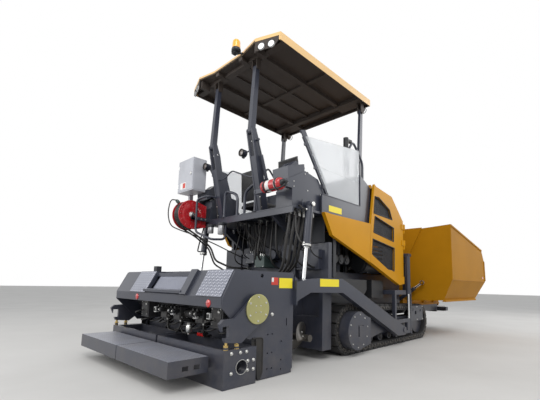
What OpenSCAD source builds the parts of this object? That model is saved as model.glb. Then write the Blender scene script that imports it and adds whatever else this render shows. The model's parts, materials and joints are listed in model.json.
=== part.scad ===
/* [Tracks] */
// Distance of the tracks' outer edges from the centre plane
track_out = 1100; // [1050:5:1150]
// Width of a track
track_w = 320; // [280:5:340]
// Place of the drive sprocket along the machine
sprocket_x = -905; // [-950:5:-860]
// Radius of the track over the sprocket
sprocket_r = 335; // [325:1:345]
// Place of the front idler along the machine
idler_x = 1370; // [1300:5:1400]
// Radius of the track over the idler
idler_r = 305; // [295:1:315]
// Height of a track pad
pad_h = 38; // [30:1:45]
// Number of pads on a track
pads = 42; // [36:1:46]

/* [Tractor] */
// Gap between the frame's side walls and the tracks
frame_gap = 50; // [40:1:60]
// Thickness of the frame's side walls
wall_t = 30; // [20:1:40]
// Level of the frame's deck
deck_z = 1100; // [1080:5:1130]
// How far the hood's side panels stand out past the tracks
hood_over = 10; // [0:1:20]
// Thickness of a hood panel
hood_t = 40; // [30:1:50]
// Place of the hood's front
hood_front_x = 741; // [735:1:760]
// Level of the hood's top
hood_top_z = 2474; // [2440:1:2500]
// Place of the seam between the rear wing panel and the door
seam_x = -341; // [-350:1:-330]
// Level of the operators' floor
floor_z = 1860; // [1850:1:1880]
// Thickness of the operators' floor
floor_t = 30; // [20:1:40]

/* [Hopper] */
// Half width of the open hopper
hopper_y = 1652; // [1640:1:1665]
// Place of the hopper's rear wall
hopper_x = 1488; // [1480:1:1500]
// Place of the hopper's front edge
hopper_front_x = 3600; // [3560:5:3640]
// Level of the hopper's top edge at the back
hopper_top_z = 2060; // [2000:5:2100]
// Distance of the wings' hinges from the centre plane
wing_hinge_y = 750; // [745:1:760]
// Level of the wings' hinges
wing_hinge_z = 650; // [640:1:660]
// Thickness of the hopper's plates
hopper_t = 20; // [12:1:25]

/* [Screed] */
// Half width of the main screed
screed_y = 1190; // [1170:1:1195]
// Place of the main screed's front
screed_front_x = -2140; // [-2150:1:-2130]
// Depth of the main screed's box
screed_depth = 460; // [440:1:480]
// Level of the screed's top edge
screed_top_z = 1045; // [1030:1:1060]
// Place of the footboards' rear edge
foot_rear_x = -3469; // [-3500:1:-3440]
// Place of the footboards' front edge
foot_front_x = -3087; // [-3100:1:-3070]
// Half width of the footboards
foot_y = 1070; // [1040:5:1100]
// Level of the footboards
foot_z = 270; // [250:1:290]
// Radius of an extension's guide tube
guide_r = 70; // [60:1:75]

/* [Tow arms] */
// How far the tow arms' outer faces stand out past the tracks
arm_over = 150; // [145:1:160]
// Thickness of a tow arm
arm_t = 85; // [70:1:90]
// Place of the tow points
tow_x = 430; // [420:1:440]
// Level of the tow points
tow_z = 240; // [230:1:250]
// Radius of the tow pins
tow_pin_r = 40; // [30:1:45]

/* [Canopy] */
// Half width of the canopy
roof_y = 978; // [950:1:1000]
// Level of the canopy's lower edge
roof_z = 3890; // [3870:5:3910]
// Place of the canopy's rear edge
roof_rear_x = -2290; // [-2310:5:-2270]
// Place of the canopy's front edge
roof_front_x = -117; // [-130:1:-100]
// Height of the canopy's rim
rim_h = 105; // [90:1:120]
// Level of the rear posts' pivots
rear_pivot_z = 2890; // [2870:5:2910]
// Distance of the rear posts from the centre plane
rear_post_y = 430; // [410:5:450]

/* [Augers] */
// Place of the auger shaft
auger_x = -1750; // [-1760:1:-1740]
// Level of the auger shaft
auger_z = 300; // [290:1:310]
// Radius of the auger flights
auger_r = 180; // [170:1:190]

/* [Hidden] */

mid_x = -(hopper_front_x + foot_rear_x) / 2;
frame_y = track_out - track_w - frame_gap;
hood_y = track_out + hood_over;
arm_y = track_out + arm_over;
gap = 0.3;
charcoal = [0.24, 0.26, 0.30];
dark = [0.08, 0.08, 0.09];
amber = [0.93, 0.60, 0.10];
steel = [0.75, 0.76, 0.78];
red = [0.75, 0.08, 0.08];

// Outlines in the side view, drawn as x and z and made from y0 to y1
module side(points, y0, y1) {
    translate([0, y1, 0]) rotate([90, 0, 0]) linear_extrude(y1 - y0) polygon(points);
}
// Outlines in the rear view, drawn as y and z and made from x0 to x1
module front(points, x0, x1) {
    translate([x0, 0, 0]) rotate([90, 0, 90]) linear_extrude(x1 - x0) polygon(points);
}
module block(low, high) {
    translate(low) cube(high - low);
}
// A round bar along Y
module bar_y(x, z, y0, y1, r) {
    translate([x, y1, z]) rotate([90, 0, 0]) cylinder(h = y1 - y0, r = r, $fn = 48);
}
// A round bar from one point to another
module bar(p, q, r) {
    d = q - p;
    h = norm(d);
    translate(p) rotate([0, acos(d[2] / h), atan2(d[1], d[0])]) cylinder(h = h, r = r, $fn = 24);
}
// Turning axis kept square to the path from one point to the next
function unit(v) = v / norm(v);
function path_dir(p, i) = unit(p[min(i + 1, len(p) - 1)] - p[max(i - 1, 0)]);
function square_to(v, d) = unit(v - (v * d) * d);
function path_normals(p, i, last) =
    i == len(p) ? [] : let (n = square_to(last, path_dir(p, i))) concat([n], path_normals(p, i + 1, n));
// The path's corners cut off by short curves that start a length c from each
function curved(p, c, steps = 3) = [
    p[0],
    for (i = [1 : len(p) - 2])
        let (a = p[i] + unit(p[i - 1] - p[i]) * min(c, norm(p[i - 1] - p[i]) * 0.45),
             b = p[i] + unit(p[i + 1] - p[i]) * min(c, norm(p[i + 1] - p[i]) * 0.45))
        for (k = [0 : steps]) let (t = k / steps)
            a * (1 - t) * (1 - t) + p[i] * 2 * t * (1 - t) + b * t * t,
    p[len(p) - 1]];
// A bent tube through points, swept as rings of flat sides
module tube(points, r, c = 90, sides = 8) {
    path = curved(points, c);
    first = path_dir(path, 0);
    start = abs(first[2]) > 0.9 ? [1, 0, 0] : [0, 0, 1];
    normals = path_normals(path, 0, start);
    rings = [for (i = [0 : len(path) - 1]) let (n = normals[i], b = cross(path_dir(path, i), n))
             for (k = [0 : sides - 1]) path[i] + r * (cos(360 * k / sides) * n + sin(360 * k / sides) * b)];
    last = (len(path) - 1) * sides;
    polyhedron(rings, [
        [for (k = [sides - 1 : -1 : 0]) k],
        for (i = [0 : len(path) - 2], k = [0 : sides - 1]) let (a = i * sides + k, b = i * sides + (k + 1) % sides)
            each [[a, b, b + sides], [a, b + sides, a + sides]],
        [for (k = [0 : sides - 1]) last + k]]);
}
// A screw flight round the Y axis: its outer and inner edges swept as a thin band
module flight(r_in, r_out, pitch, length, t) {
    steps = round(length / pitch * 14);
    pts = [for (i = [0 : steps]) let (y = length * i / steps, a = 360 * y / pitch)
           for (c = [[r_in, -t / 2], [r_out, -t / 2], [r_out, t / 2], [r_in, t / 2]])
               [c[0] * cos(a), y + c[1], c[0] * sin(a)]];
    last = steps * 4;
    polyhedron(pts, [
        [0, 1, 2, 3],
        for (i = [0 : steps - 1], k = [0 : 3]) let (a = i * 4 + k, b = i * 4 + (k + 1) % 4)
            each [[a, a + 4, b + 4], [a, b + 4, b]],
        [last + 3, last + 2, last + 1, last]]);
}
module both() {
    children();
    mirror([0, 1, 0]) children();
}
module on_side(left) {
    if (left) children();
    else mirror([0, 1, 0]) children();
}

// The track's loop: two arcs on the ground and the straight runs between them
run_l = idler_x - sprocket_x;
drop = sprocket_r - idler_r;
top_a = acos(drop / sqrt(run_l * run_l + drop * drop)) - atan2(drop, run_l);
arc_f = (top_a + 90) * PI / 180;
arc_b = (270 - top_a) * PI / 180;
top_l = sqrt(run_l * run_l + drop * drop - drop * drop);
loop_l = run_l + arc_f * idler_r + top_l + arc_b * sprocket_r;
link_h = 55;
track_in = pad_h + link_h;

// Place and outward direction on the loop after a length s
function loop_at(s) =
    s < run_l ? [sprocket_x + s, 0, -90]
    : s < run_l + arc_f * idler_r
        ? let (a = -90 + (s - run_l) / idler_r * 180 / PI)
          [idler_x + idler_r * cos(a), idler_r + idler_r * sin(a), a]
    : s < run_l + arc_f * idler_r + top_l
        ? let (k = s - run_l - arc_f * idler_r)
          [idler_x + idler_r * cos(top_a) - k * sin(top_a),
           idler_r + idler_r * sin(top_a) + k * cos(top_a), top_a]
    : let (a = top_a + (s - run_l - arc_f * idler_r - top_l) / sprocket_r * 180 / PI)
      [sprocket_x + sprocket_r * cos(a), sprocket_r + sprocket_r * sin(a), a];
// A point beside the loop: along it by t and outward by n
function beside(p, t, n) = [p[0] - t * sin(p[2]) + n * cos(p[2]), p[1] + t * cos(p[2]) + n * sin(p[2])];
pitch = loop_l / pads;
pad_half = pitch * 0.42;
// Corners of a pad, each as a share of its half length and a depth
pad_corners = [[-1, -pad_h], [-1, -6], [-0.86, 0], [0.86, 0], [1, -6], [1, -pad_h]];
track_outer = [for (i = [0 : pads - 1]) let (p = loop_at((i + 0.5) * pitch))
               for (c = pad_corners) beside(p, c[0] * pad_half, c[1])];
track_inner = [for (a = [-90 : 15 : top_a]) [idler_x + (idler_r - track_in) * cos(a),
                                             idler_r + (idler_r - track_in) * sin(a)],
               for (a = [top_a : 14.9 : 270]) [sprocket_x + (sprocket_r - track_in) * cos(a),
                                               sprocket_r + (sprocket_r - track_in) * sin(a)]];

module track(left) {
    on_side(left) color(dark) translate([0, track_out, 0]) rotate([90, 0, 0])
        linear_extrude(track_w) difference() {
            polygon(track_outer);
            polygon(track_inner);
        }
}

// Sprocket, idler and rollers seat inside the loop with a small gap
wheel_in = track_in + 6;
roller_r = 70;
roller_xs = [-560, -270, 20, 310, 600, 890];
beam_low = track_in + 2 * roller_r - 30;
beam_high = 420;
beam_y0 = track_out - 250;
guard_r = 247;
guard_z = sprocket_r - 5;
guard_end = -608;
guard_in = track_out + 6;
nose = [[-640, 540], [-560, 500], [-36, 248], [-418, 184], [-640, 120]];
// Holes of the track's front plate: left edge, lower edge, width, height
plate_holes = [[930, 500, 30, 50], [930, 360, 24, 50], [1010, 500, 24, 50], [1100, 440, 60, 60], [1300, 480, 40, 40]];

module track_frames() {
    color(charcoal) both() {
        // Long beam with its rollers and the two end wheels
        side([[sprocket_x + 60, beam_low], [idler_x - 150, beam_low], [idler_x - 60, idler_r - 60],
              [idler_x - 60, idler_r + 60], [idler_x - 150, beam_high], [sprocket_x + 60, beam_high]],
             beam_y0, track_out - 50);
        for (x = roller_xs) bar_y(x, track_in + roller_r + gap, beam_y0 + 10, track_out - 60, roller_r);
        bar_y(sprocket_x, sprocket_r, beam_y0 + 20, track_out - 70, sprocket_r - wheel_in);
        bar_y(idler_x, idler_r, beam_y0 + 20, track_out - 70, idler_r - wheel_in);
        // Hub that carries the drive's guard past the track's outer edge
        bar_y(sprocket_x, guard_z, track_out - 70, guard_in + 4, 190);
        // Guard of the final drive with its slot and its nose
        difference() {
            union() {
                bar_y(sprocket_x, guard_z, guard_in, arm_y, guard_r);
                side([[sprocket_x, guard_z + guard_r], [guard_end, guard_z + 150], [guard_end, guard_z - 190],
                      [sprocket_x + 90, guard_z - guard_r + 18], [sprocket_x, guard_z - guard_r]],
                     arm_y - 14, arm_y);
            }
            block([sprocket_x - 15, arm_y - 30, guard_z - 80], [sprocket_x + 15, arm_y + 5, guard_z + 70]);
            block([sprocket_x + 15, arm_y - 6, guard_z + 52], [sprocket_x + 110, arm_y + 5, guard_z + 70]);
        }
        side(nose, guard_in, guard_in + 34);
        block([-640, track_out - 60, 240], [-500, guard_in + 4, 400]);
        // Front plate with its square holes
        difference() {
            block([915, guard_in, 330], [1430, guard_in + 24, 590]);
            for (h = plate_holes)
                block([h[0], track_out, h[1]], [h[0] + h[2], guard_in + 34, h[1] + h[3]]);
        }
        block([960, track_out - 60, 345], [1100, guard_in + 4, 405]);
    }
}

frame_rear_x = -1300;
frame_front_x = 1330;
frame_low_z = 420;
sill_z = 550;
sill_front_x = hopper_front_x - 400;
conveyor_beams = [-1000, 300, 1600, 2300, 3000];
module main_frame() {
    color(charcoal) {
        both() {
            // Side walls, and sills that run on under the hopper
            block([frame_rear_x, frame_y - wall_t, frame_low_z], [frame_front_x, frame_y, deck_z]);
            block([frame_front_x, frame_y - 100, frame_low_z], [sill_front_x, frame_y, sill_z]);
            // Cross beams that carry the track frames
            for (x = [-500, 800]) block([x, 0, 200], [x + 160, beam_y0, frame_low_z]);
            // Brackets that carry the hood's wing panels
            block([-1250, frame_y, deck_z - 80], [-1170, hood_y - hood_t - 12, deck_z]);
        }
        block([frame_rear_x, -frame_y, deck_z], [frame_front_x, frame_y, deck_z + 15]);
        block([frame_rear_x, -frame_y + wall_t, frame_low_z], [frame_rear_x + 20, frame_y - wall_t, frame_low_z + 50]);
        block([sill_front_x - 60, -frame_y, frame_low_z - 40], [sill_front_x, frame_y, sill_z - 60]);
        // Cross members under the conveyor
        for (x = conveyor_beams)
            block([x, -frame_y + wall_t - 1, frame_low_z], [x + 60, frame_y - wall_t + 1, conv_z - gap]);
        // Tongue and pin of the push beam
        difference() {
            block([sill_front_x - 60, -80, push_z - 65], [push_x + 60, 80, push_z + 65]);
            block([sill_front_x, -81, push_z - 45], [push_x + 61, 81, push_z + 50]);
        }
        translate([push_x, 0, push_z - 60]) cylinder(h = 120, r = push_pin_r, $fn = 48);
        // Lugs and pins of the wing cylinders
        both() {
            block([frame_front_x - 24, wing_pin[1] - 50, wing_pin[2] - 50], [frame_front_x, frame_y, wing_pin[2] + 50]);
            translate([frame_front_x, wing_pin[1], wing_pin[2]]) rotate([0, 90, 0])
                cylinder(h = wing_pin[0] - frame_front_x + 34, r = wing_pin_r, $fn = 32);
        }
    }
}

module engine_block() {
    color(dark) block([-120, -380, deck_z + 15], [620, 380, 1850]);
}

// Upright case at the rear that closes the tracks off from the augers
case_x = frame_rear_x - gap;
case_top = 1470;
case_in = 560;
case_d = 120;
module rear_case() {
    color(charcoal) {
        both() difference() {
            side([[case_x - 180, 120], [case_x, 120], [case_x, case_top], [case_x - 70, case_top],
                  [case_x - 70, 1000], [case_x - 180, 960]], case_in, track_out - 12);
            block([case_x - 200, case_in + 80, 520], [case_x - 60, track_out - 70, 860]);
        }
        block([case_x - case_d, -case_in, 1000], [case_x, case_in, case_top]);
        // Pumps and valve boxes on its back
        both() {
            bar_x([case_x - case_d - 60, 230, 1330], 130, 62);
            block([case_x - case_d - 70, 360, 1180], [case_x - case_d + 10, 500, 1390]);
            block([case_x - 140, case_in + 40, 1120], [case_x - 60, track_out - 120, 1380]);
        }
    }
}

// Fuel and oil tanks beside the frame, above the tracks
tank_y = track_out - 130;
module side_tanks() {
    color(charcoal) both() {
        side([[-1150, 760], [-350, 760], [-250, 860], [-250, deck_z - 90], [-1150, deck_z - 90]],
             frame_y + gap, tank_y);
        side([[-100, 740], [260, 720], [260, deck_z - 90], [-100, deck_z - 90]], frame_y + gap, tank_y);
        block([-1150, 430, deck_z + 15 + gap], [-700, frame_y, deck_z + 120]);
        for (x = [-1060, -920, -780]) {
            bar_y(x, deck_z + 183, 430, tank_y, 64);
            bar_y(x, deck_z + 183, tank_y, tank_y + 12, 40);
        }
    }
}

// The hood's outline in the side view
skin = 20;
front_z = 2047;
slope_x = 335;
slope_z = hood_top_z - 61;
exhaust = [-170, -530];
exhaust_r = 45;
hinge_x = hood_front_x + 14;
hinge_zs = [1560, 1840];
door_pin_r = 12;
module hood_top() {
    color(amber) difference() {
        union() {
            side([[hood_front_x, deck_z + 15 + gap], [hood_front_x, front_z], [slope_x, slope_z], [-171, hood_top_z],
                  [-232, hood_top_z + 30], [-232, hood_top_z - 34], [-180, hood_top_z - skin],
                  [slope_x - 10, slope_z - skin], [hood_front_x - skin, front_z - 9],
                  [hood_front_x - skin, deck_z + 15 + gap]],
                 -hood_y + hood_t + 26, hood_y - hood_t - 26);
            // Hinge posts of the doors
            both() for (z = hinge_zs) {
                block([hood_front_x - 15, hood_y - hood_t - 50, z], [hood_front_x + 20, hood_y - hood_t - 26, z + 60]);
                block([hood_front_x + 2, hood_y - hood_t - 30, z], [hood_front_x + 20, hood_y + 4, z + 60]);
                translate([hinge_x, hood_y + 4, z]) cylinder(h = 160, r = door_pin_r, $fn = 32);
            }
        }
        // Air grille in the front
        for (z = [1250 : 90 : 1850]) block([hood_front_x - 60, -620, z], [hood_front_x + 5, 620, z + 45]);
        translate([exhaust[0], exhaust[1], 2300]) cylinder(h = 300, r = exhaust_r + 5, $fn = 48);
    }
}

door_line = [[-383, 1270], [552, 943], [724, 968], [hood_front_x - 4, front_z], [slope_x, slope_z],
             [-171, hood_top_z], [-228, hood_top_z + 28], [seam_x + 3, 1867]];
rim = 14;
// Windows of the door, as x and z of their corners
windows = [[[-222, 2308], [-260, 2038], [338, 2020], [250, 2175], [-95, 2312]],
           [[-225, 1994], [-269, 1737], [380, 1660], [388, 1887]],
           [[-291, 1631], [-315, 1374], [160, 1183], [387, 1172], [400, 1550]]];
module hood_door(left) {
    on_side(left) {
        color(amber) difference() {
            union() {
                side(door_line, hood_y - hood_t, hood_y);
                side([[-383, 1270], [552, 943], [724, 968], [727, 1090], [560, 1080], [-372, 1400]],
                     hood_y - hood_t - rim, hood_y + rim);
            }
            for (w = windows) side(w, hood_y - hood_t - 20, hood_y + 20);
        }
        // Knuckles on the hinge pins
        color(amber) for (z = hinge_zs) difference() {
            union() {
                translate([hinge_x, hood_y + 4, z + 63]) cylinder(h = 90, r = 22, $fn = 32);
                block([hood_front_x - 80, hood_y - 4, z + 63], [hinge_x, hood_y + 12, z + 153]);
            }
            translate([hinge_x, hood_y + 4, z]) cylinder(h = 200, r = door_pin_r + 0.5, $fn = 32);
        }
    }
}
// Pierced sheets in the door's windows
module grilles(left) {
    on_side(left) color(dark) for (w = windows) difference() {
        side(w, hood_y - hood_t + 4, hood_y - hood_t + 12);
        for (z = [w[3][1] + 100 : 60 : w[0][1] - 60])
            block([w[1][0] + 60, hood_y - hood_t, z], [w[2][0] - 110, hood_y - hood_t + 20, z + 26]);
    }
}

wing_line = [[-1504, 1842], [-1330, 1563], [-392, 1268], [seam_x - 3, 1856]];
module hood_rear_panels() {
    color(amber) both() {
        side(wing_line, hood_y - hood_t, hood_y);
        side([[-1504, 1842], [-1330, 1563], [-392, 1268], [-381, 1390], [-1290, 1680], [-1400, 1842]],
             hood_y - hood_t, hood_y + rim);
        // Brackets down to the frame
        block([-1240, hood_y - hood_t - 12, deck_z - 80], [-1180, hood_y - hood_t, 1660]);
    }
}

bulk_x0 = -544;
bulk_x1 = -262;
stand_y = hood_y - 60;
floor_rear_x = -2000;
side_wall_t = 25;
wall_top = 2098;
front_pivot = [-310, 2855];
front_post_y = stand_y - 168;
lift_top = [-1770, 1890];
lift_y = track_out;
lift_pin_r = 18;
module platform() {
    color(charcoal) {
        difference() {
            union() {
                // Floor of the operators' stand
                block([floor_rear_x, -stand_y + 20, floor_z - floor_t], [bulk_x0, stand_y - 20, floor_z]);
                // Bulkhead before the operators
                side([[bulk_x0, floor_z - floor_t], [bulk_x1, floor_z - floor_t], [bulk_x1, 2440], [bulk_x0, 2578]],
                     -stand_y, stand_y);
            }
            block([bulk_x0 + 40, -stand_y + 40, floor_z + 40], [bulk_x1 + 10, stand_y - 40, 2380]);
        }
        both() {
            // Side walls above the wing panels
            side([[-1466, floor_z - floor_t], [bulk_x0, floor_z - floor_t], [bulk_x0, wall_top], [-1466, wall_top]],
                 stand_y - side_wall_t, stand_y);
            // Legs down to the rear case and to the frame
            for (y = [500, 900]) block([-1370, y, case_top + gap], [case_x, y + 60, floor_z - floor_t]);
            // Struts under the floor and rail along its rear edge
            side([[floor_rear_x, floor_z - floor_t], [case_x - 70 - gap, case_top - 60],
                  [case_x - 70 - gap, case_top + 60], [floor_rear_x + 160, floor_z - floor_t]], 580, 630);
            block([floor_rear_x, 0, floor_z - 90], [floor_rear_x + 20, stand_y - 20, floor_z - floor_t]);
            block([-640, 640, deck_z + 15 + gap], [-570, 700, floor_z - floor_t]);
            // Forks of the front posts
            for (y = [front_post_y - 38, front_post_y + 25]) {
                side([[-420, 2480], [-320, 2440], [front_pivot[0] + post_r, front_pivot[1]],
                      [front_pivot[0] - post_r, front_pivot[1]]], y, y + 13);
                bar_y(front_pivot[0], front_pivot[1], y, y + 13, post_r);
            }
            bar_y(front_pivot[0], front_pivot[1], front_post_y - 38, front_post_y + 38, post_bore - 0.5);
            // Ears and pins that hold the lift cylinders
            block([lift_top[0] - 70, stand_y - 20, floor_z - floor_t], [lift_top[0] + 70, stand_y - 8, lift_top[1] + 60]);
            bar_y(lift_top[0], lift_top[1], stand_y - 10, lift_y + 60, lift_pin_r);
        }
    }
}

console_top = 2070;
console_y = [stand_y - 330, stand_y - 50];
cheek_t = 60;
module consoles() {
    color(charcoal) both() {
        side([[-2040, 2180], [-1750, 2340], [-1490, 2290], [-1340, console_top], [-2070, console_top]],
             console_y[1] - cheek_t, console_y[1]);
        block([-1980, console_y[0], floor_z + gap], [-1420, console_y[1], console_top]);
        side([[-1960, console_top], [-1440, console_top], [-1500, 2270], [-1750, 2320], [-1960, 2180]],
             console_y[0], console_y[1] - cheek_t);
    }
    // Folded desk with its dials' hoods
    color(dark) both() {
        side([[-2040, 2180 + gap], [-1750, 2340 + gap], [-1760, 2430], [-2060, 2330]],
             console_y[0] + 10, console_y[1] - 10);
        for (y = [console_y[0] + 40, console_y[0] + 150])
            side([[-1990, 2350], [-1820, 2405], [-1830, 2450], [-1880, 2450]], y, y + 80);
    }
}

seat_at = [-1220, 430];
module seat(left) {
    on_side(left) color(dark) translate([seat_at[0], seat_at[1], 0]) {
        translate([0, 0, floor_z + gap]) cylinder(h = 262, r = 60, $fn = 48);
        block([-240, -215, floor_z + 260], [230, 215, floor_z + 370]);
        side([[-240, floor_z + 370], [-140, floor_z + 370], [-180, floor_z + 850], [-270, floor_z + 850]], -200, 200);
    }
}

cabinet_y = [stand_y - 335, stand_y + 90];
cabinet_z = [2280, 2780];
module cabinet() {
    color([0.72, 0.73, 0.75]) block([-2310, cabinet_y[0], cabinet_z[0]], [-2090, cabinet_y[1], cabinet_z[1]]);
    color(charcoal) {
        block([-2150, stand_y - 5, floor_z - 20], [-2095, stand_y + 45, cabinet_z[0]]);
        block([-2150, stand_y - 50, floor_z - 20], [floor_rear_x - gap, stand_y + 45, floor_z + 20]);
    }
}

reel = [-2270, stand_y - 210, 1910];
reel_r = 215;
module hose_reel() {
    color(red) {
        for (y = [reel[1] - 90, reel[1] + 84]) bar_y(reel[0], reel[2], y, y + 6, reel_r);
        bar_y(reel[0], reel[2], reel[1] - 84, reel[1] + 84, reel_r - 60);
    }
    color(charcoal) {
        bar_y(reel[0], reel[2], reel[1] - 140, reel[1] - 90, 40);
        block([reel[0] - 40, reel[1] - 145, reel[2] - 80], [floor_rear_x - gap, reel[1] - 125, reel[2] - 30]);
        block([reel[0] - 40, reel[1] - 145, reel[2] - 80], [reel[0] + 40, reel[1] - 125, reel[2] + 40]);
    }
}

rear_low_x = -2175;
fork_gap = 38;
post_r = 40;
// Rear edge of the slanted beams that carry the canopy
function beam_rear(z) = -1990 + (rear_low_x - post_r + 1990) * (z - floor_z) / (rear_pivot_z - floor_z);
bottle = [-2190, 2075];
bottle_r = 72;
bottle_y = [-1040, -720];
module extinguisher() {
    color(red) bar_y(bottle[0], bottle[1], bottle_y[0], bottle_y[1], bottle_r);
    color(dark) {
        bar_y(bottle[0], bottle[1], bottle_y[0] - 40, bottle_y[0], 45);
        block([bottle[0] - 50, bottle_y[0] - 80, bottle[1] - 12], [bottle[0] + 20, bottle_y[0] - 30, bottle[1] + 12]);
    }
    color(charcoal) {
        // Shelf behind the bottle, its arm to the beam and two clamps round the bottle
        block([bottle[0] + bottle_r - 4, bottle_y[0] + 20, bottle[1] - 30],
              [bottle[0] + bottle_r + 8, -rear_post_y - fork_gap, bottle[1] + 30]);
        side([[bottle[0] + 60, bottle[1] - 20], [beam_rear(bottle[1] - 20) - gap, bottle[1] - 20],
              [beam_rear(bottle[1] + 20) - gap, bottle[1] + 20], [bottle[0] + 60, bottle[1] + 20]],
             -rear_post_y - fork_gap - 20, -rear_post_y - fork_gap);
        for (y = [bottle_y[0] + 50, bottle_y[1] - 80]) difference() {
            bar_y(bottle[0], bottle[1], y, y + 24, bottle_r + 5);
            bar_y(bottle[0], bottle[1], y - 1, y + 25, bottle_r - 3);
        }
    }
}

silencer_r = 150;
silencer = [45, -(hood_y - hood_t - 60 - silencer_r), deck_z + 15 + gap + silencer_r];
module exhaust_stack() {
    color(dark) {
        // Silencer on the deck and its pipe to the stack
        bar_x(silencer, 700, silencer_r);
        bar_x(silencer, 760, 120);
        block([-210, silencer[1] + 100, silencer[2] - 40], [-130, exhaust[1] + 10, silencer[2] + 40]);
        for (x = [-200, 230]) block([x, silencer[1] - 90, deck_z + 15 + gap], [x + 40, silencer[1] + 90, silencer[2] - 90]);
        translate([exhaust[0], exhaust[1], deck_z + 15 + gap]) cylinder(h = 3440 - deck_z - 15, r = exhaust_r, $fn = 48);
        bar([exhaust[0], exhaust[1], 3400], [exhaust[0] + 140, exhaust[1], 3415], 36);
        translate([exhaust[0], exhaust[1], 2900]) cylinder(h = 30, r = exhaust_r + 16, $fn = 48);
    }
}

// Side screens: a lower row over the walls and an upper one, with a seam between
screen_line = [[-1790, 2780], [-560, 2960], [-560, wall_top + gap], [-1290, wall_top + gap]];
screen_seam = 2440;
module windscreens() {
    color([0.9, 0.92, 0.95, 0.4]) both() difference() {
        side(screen_line, stand_y - 20, stand_y - 14);
        block([-1600, stand_y - 17, screen_seam], [-500, stand_y - 10, screen_seam + 12]);
    }
}
module screen_frames() {
    color(charcoal) both() {
        // Slanted channel along the screen's rear edge
        difference() {
            side([[-1880, 2830], [-1795, 2860], [-1235, wall_top + gap], [-1330, wall_top + gap]],
                 stand_y - 48, stand_y - 20 - gap);
            side([[-1860, 2800], [-1800, 2820], [-1262, wall_top + 30], [-1310, wall_top + 30]],
                 stand_y - 49, stand_y - 36);
        }
        bar([-590, stand_y - 35, wall_top + gap], [-590, stand_y - 35, 2990], 14);
        // Clamps on the channel
        for (t = [0.2, 0.55, 0.85]) translate([-1880 + 560 * t - 20, stand_y - 49, 2830 - 735 * t])
            block([0, 0, -18], [30, 25, 18]);
    }
}

rail_r = 18;
grip_y = stand_y - 95;
beam_in = rear_post_y - fork_gap - 20;
function bulk_top(x) = 2440 + (bulk_x1 - x) / (bulk_x1 - bulk_x0) * 138;
module handrails() {
    color(charcoal) {
        both() {
            tube([[-1960, 80, floor_z + gap], [-1960, 80, 2170], [-1990, 340, 2260], [-1990, 340, floor_z + gap]], 20);
            tube([[-780, grip_y, floor_z + gap], [-760, grip_y, 2900], [-600, grip_y, 3120], [-330, grip_y, 2850],
                  [-330, grip_y, bulk_top(-330 - rail_r) + gap]],
                 rail_r);
        }
        // Bent rail between the beams, and the guard of the hose reel
        tube([[-2075, beam_in - gap, 2405], [-2075, 250, 2405], [-2075, 90, 2490], [-2065, -beam_in + 60, 2320],
              [-2065, -beam_in + gap, 2320]], 10, 50);
        tube([[floor_rear_x + 10, 300, floor_z - 90 - gap], [floor_rear_x + 10, 300, 1540], [-2200, 330, 1520],
              [-2255, 655, 1650], [-2255, 655, 2130], [-2200, 478, 2165],
              [beam_rear(2165 + 16) - gap, 478, 2165]], 16, 60);
    }
}

strut_y = rear_post_y + fork_gap + 50;
lamp_arm = [-2130, 2650];
module canopy_supports() {
    color(charcoal) both() {
        // Slanted beams from the floor's rear edge to the rear posts' pivots
        for (y = [rear_post_y - fork_gap - 20, rear_post_y + fork_gap]) {
            difference() {
                side([[-1990, floor_z + gap], [-1890, floor_z + gap], [rear_low_x + 90, rear_pivot_z - 120],
                      [rear_low_x + post_r, rear_pivot_z], [rear_low_x - post_r, rear_pivot_z]], y, y + 20);
                bar_y(rear_low_x + 50, rear_pivot_z - 110, y - 1, y + 21, 14);
            }
            bar_y(rear_low_x, rear_pivot_z, y, y + 20, post_r);
        }
        side([[-1980, floor_z + gap], [-1900, floor_z + gap], [-2060, 2560], [-2140, 2560]],
             rear_post_y - fork_gap, rear_post_y + fork_gap);
        bar_y(rear_low_x, rear_pivot_z, rear_post_y - 58, rear_post_y + 58, post_bore - 0.5);
        // Gas strut beside each beam
        bar([-1965, strut_y, 2270], [-2067, strut_y, 2575], 22);
        bar([-2060, strut_y, 2560], [-2135, strut_y, 2760], 9);
        for (p = [[-1965, 2270], [-2135, 2760]]) bar_y(p[0], p[1], rear_post_y + fork_gap + 19, strut_y + 24, 15);
    }
    // Round lamps on arms, each to the left of its beam
    color(charcoal) for (c = [-1, 1]) {
        bar_y(lamp_arm[0], lamp_arm[1], c * rear_post_y + fork_gap + 19, c * rear_post_y + 165, 10);
        bar_x([lamp_arm[0], c * rear_post_y + 205, lamp_arm[1]], 60, 50);
    }
}

post_top = [45, 910];
post_half = 32;
post_bore = 17;
module post(x, z, y) {
    dx = post_top[0];
    dz = post_top[1];
    difference() {
        union() {
            side([[x - post_r, z], [x + post_r, z], [x + dx + post_r - 8, z + dz], [x + dx - post_r + 8, z + dz]],
                 y - post_half, y + post_half);
            bar_y(x, z, y - post_half, y + post_half, post_r);
            bar_y(x + dx, z + dz, y - post_half, y + post_half, post_r - 8);
        }
        bar_y(x, z, y - post_half - 1, y + post_half + 1, post_bore);
        bar_y(x + dx, z + dz, y - post_half - 1, y + post_half + 1, post_bore);
    }
}
module rear_posts() {
    color(charcoal) both() post(rear_low_x, rear_pivot_z, rear_post_y);
}
module front_posts() {
    color(charcoal) both() intersection() {
        post(front_pivot[0], front_pivot[1], front_post_y);
        block([-2000, front_post_y - 22, 0], [1000, front_post_y + 22, 5000]);
    }
}

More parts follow.
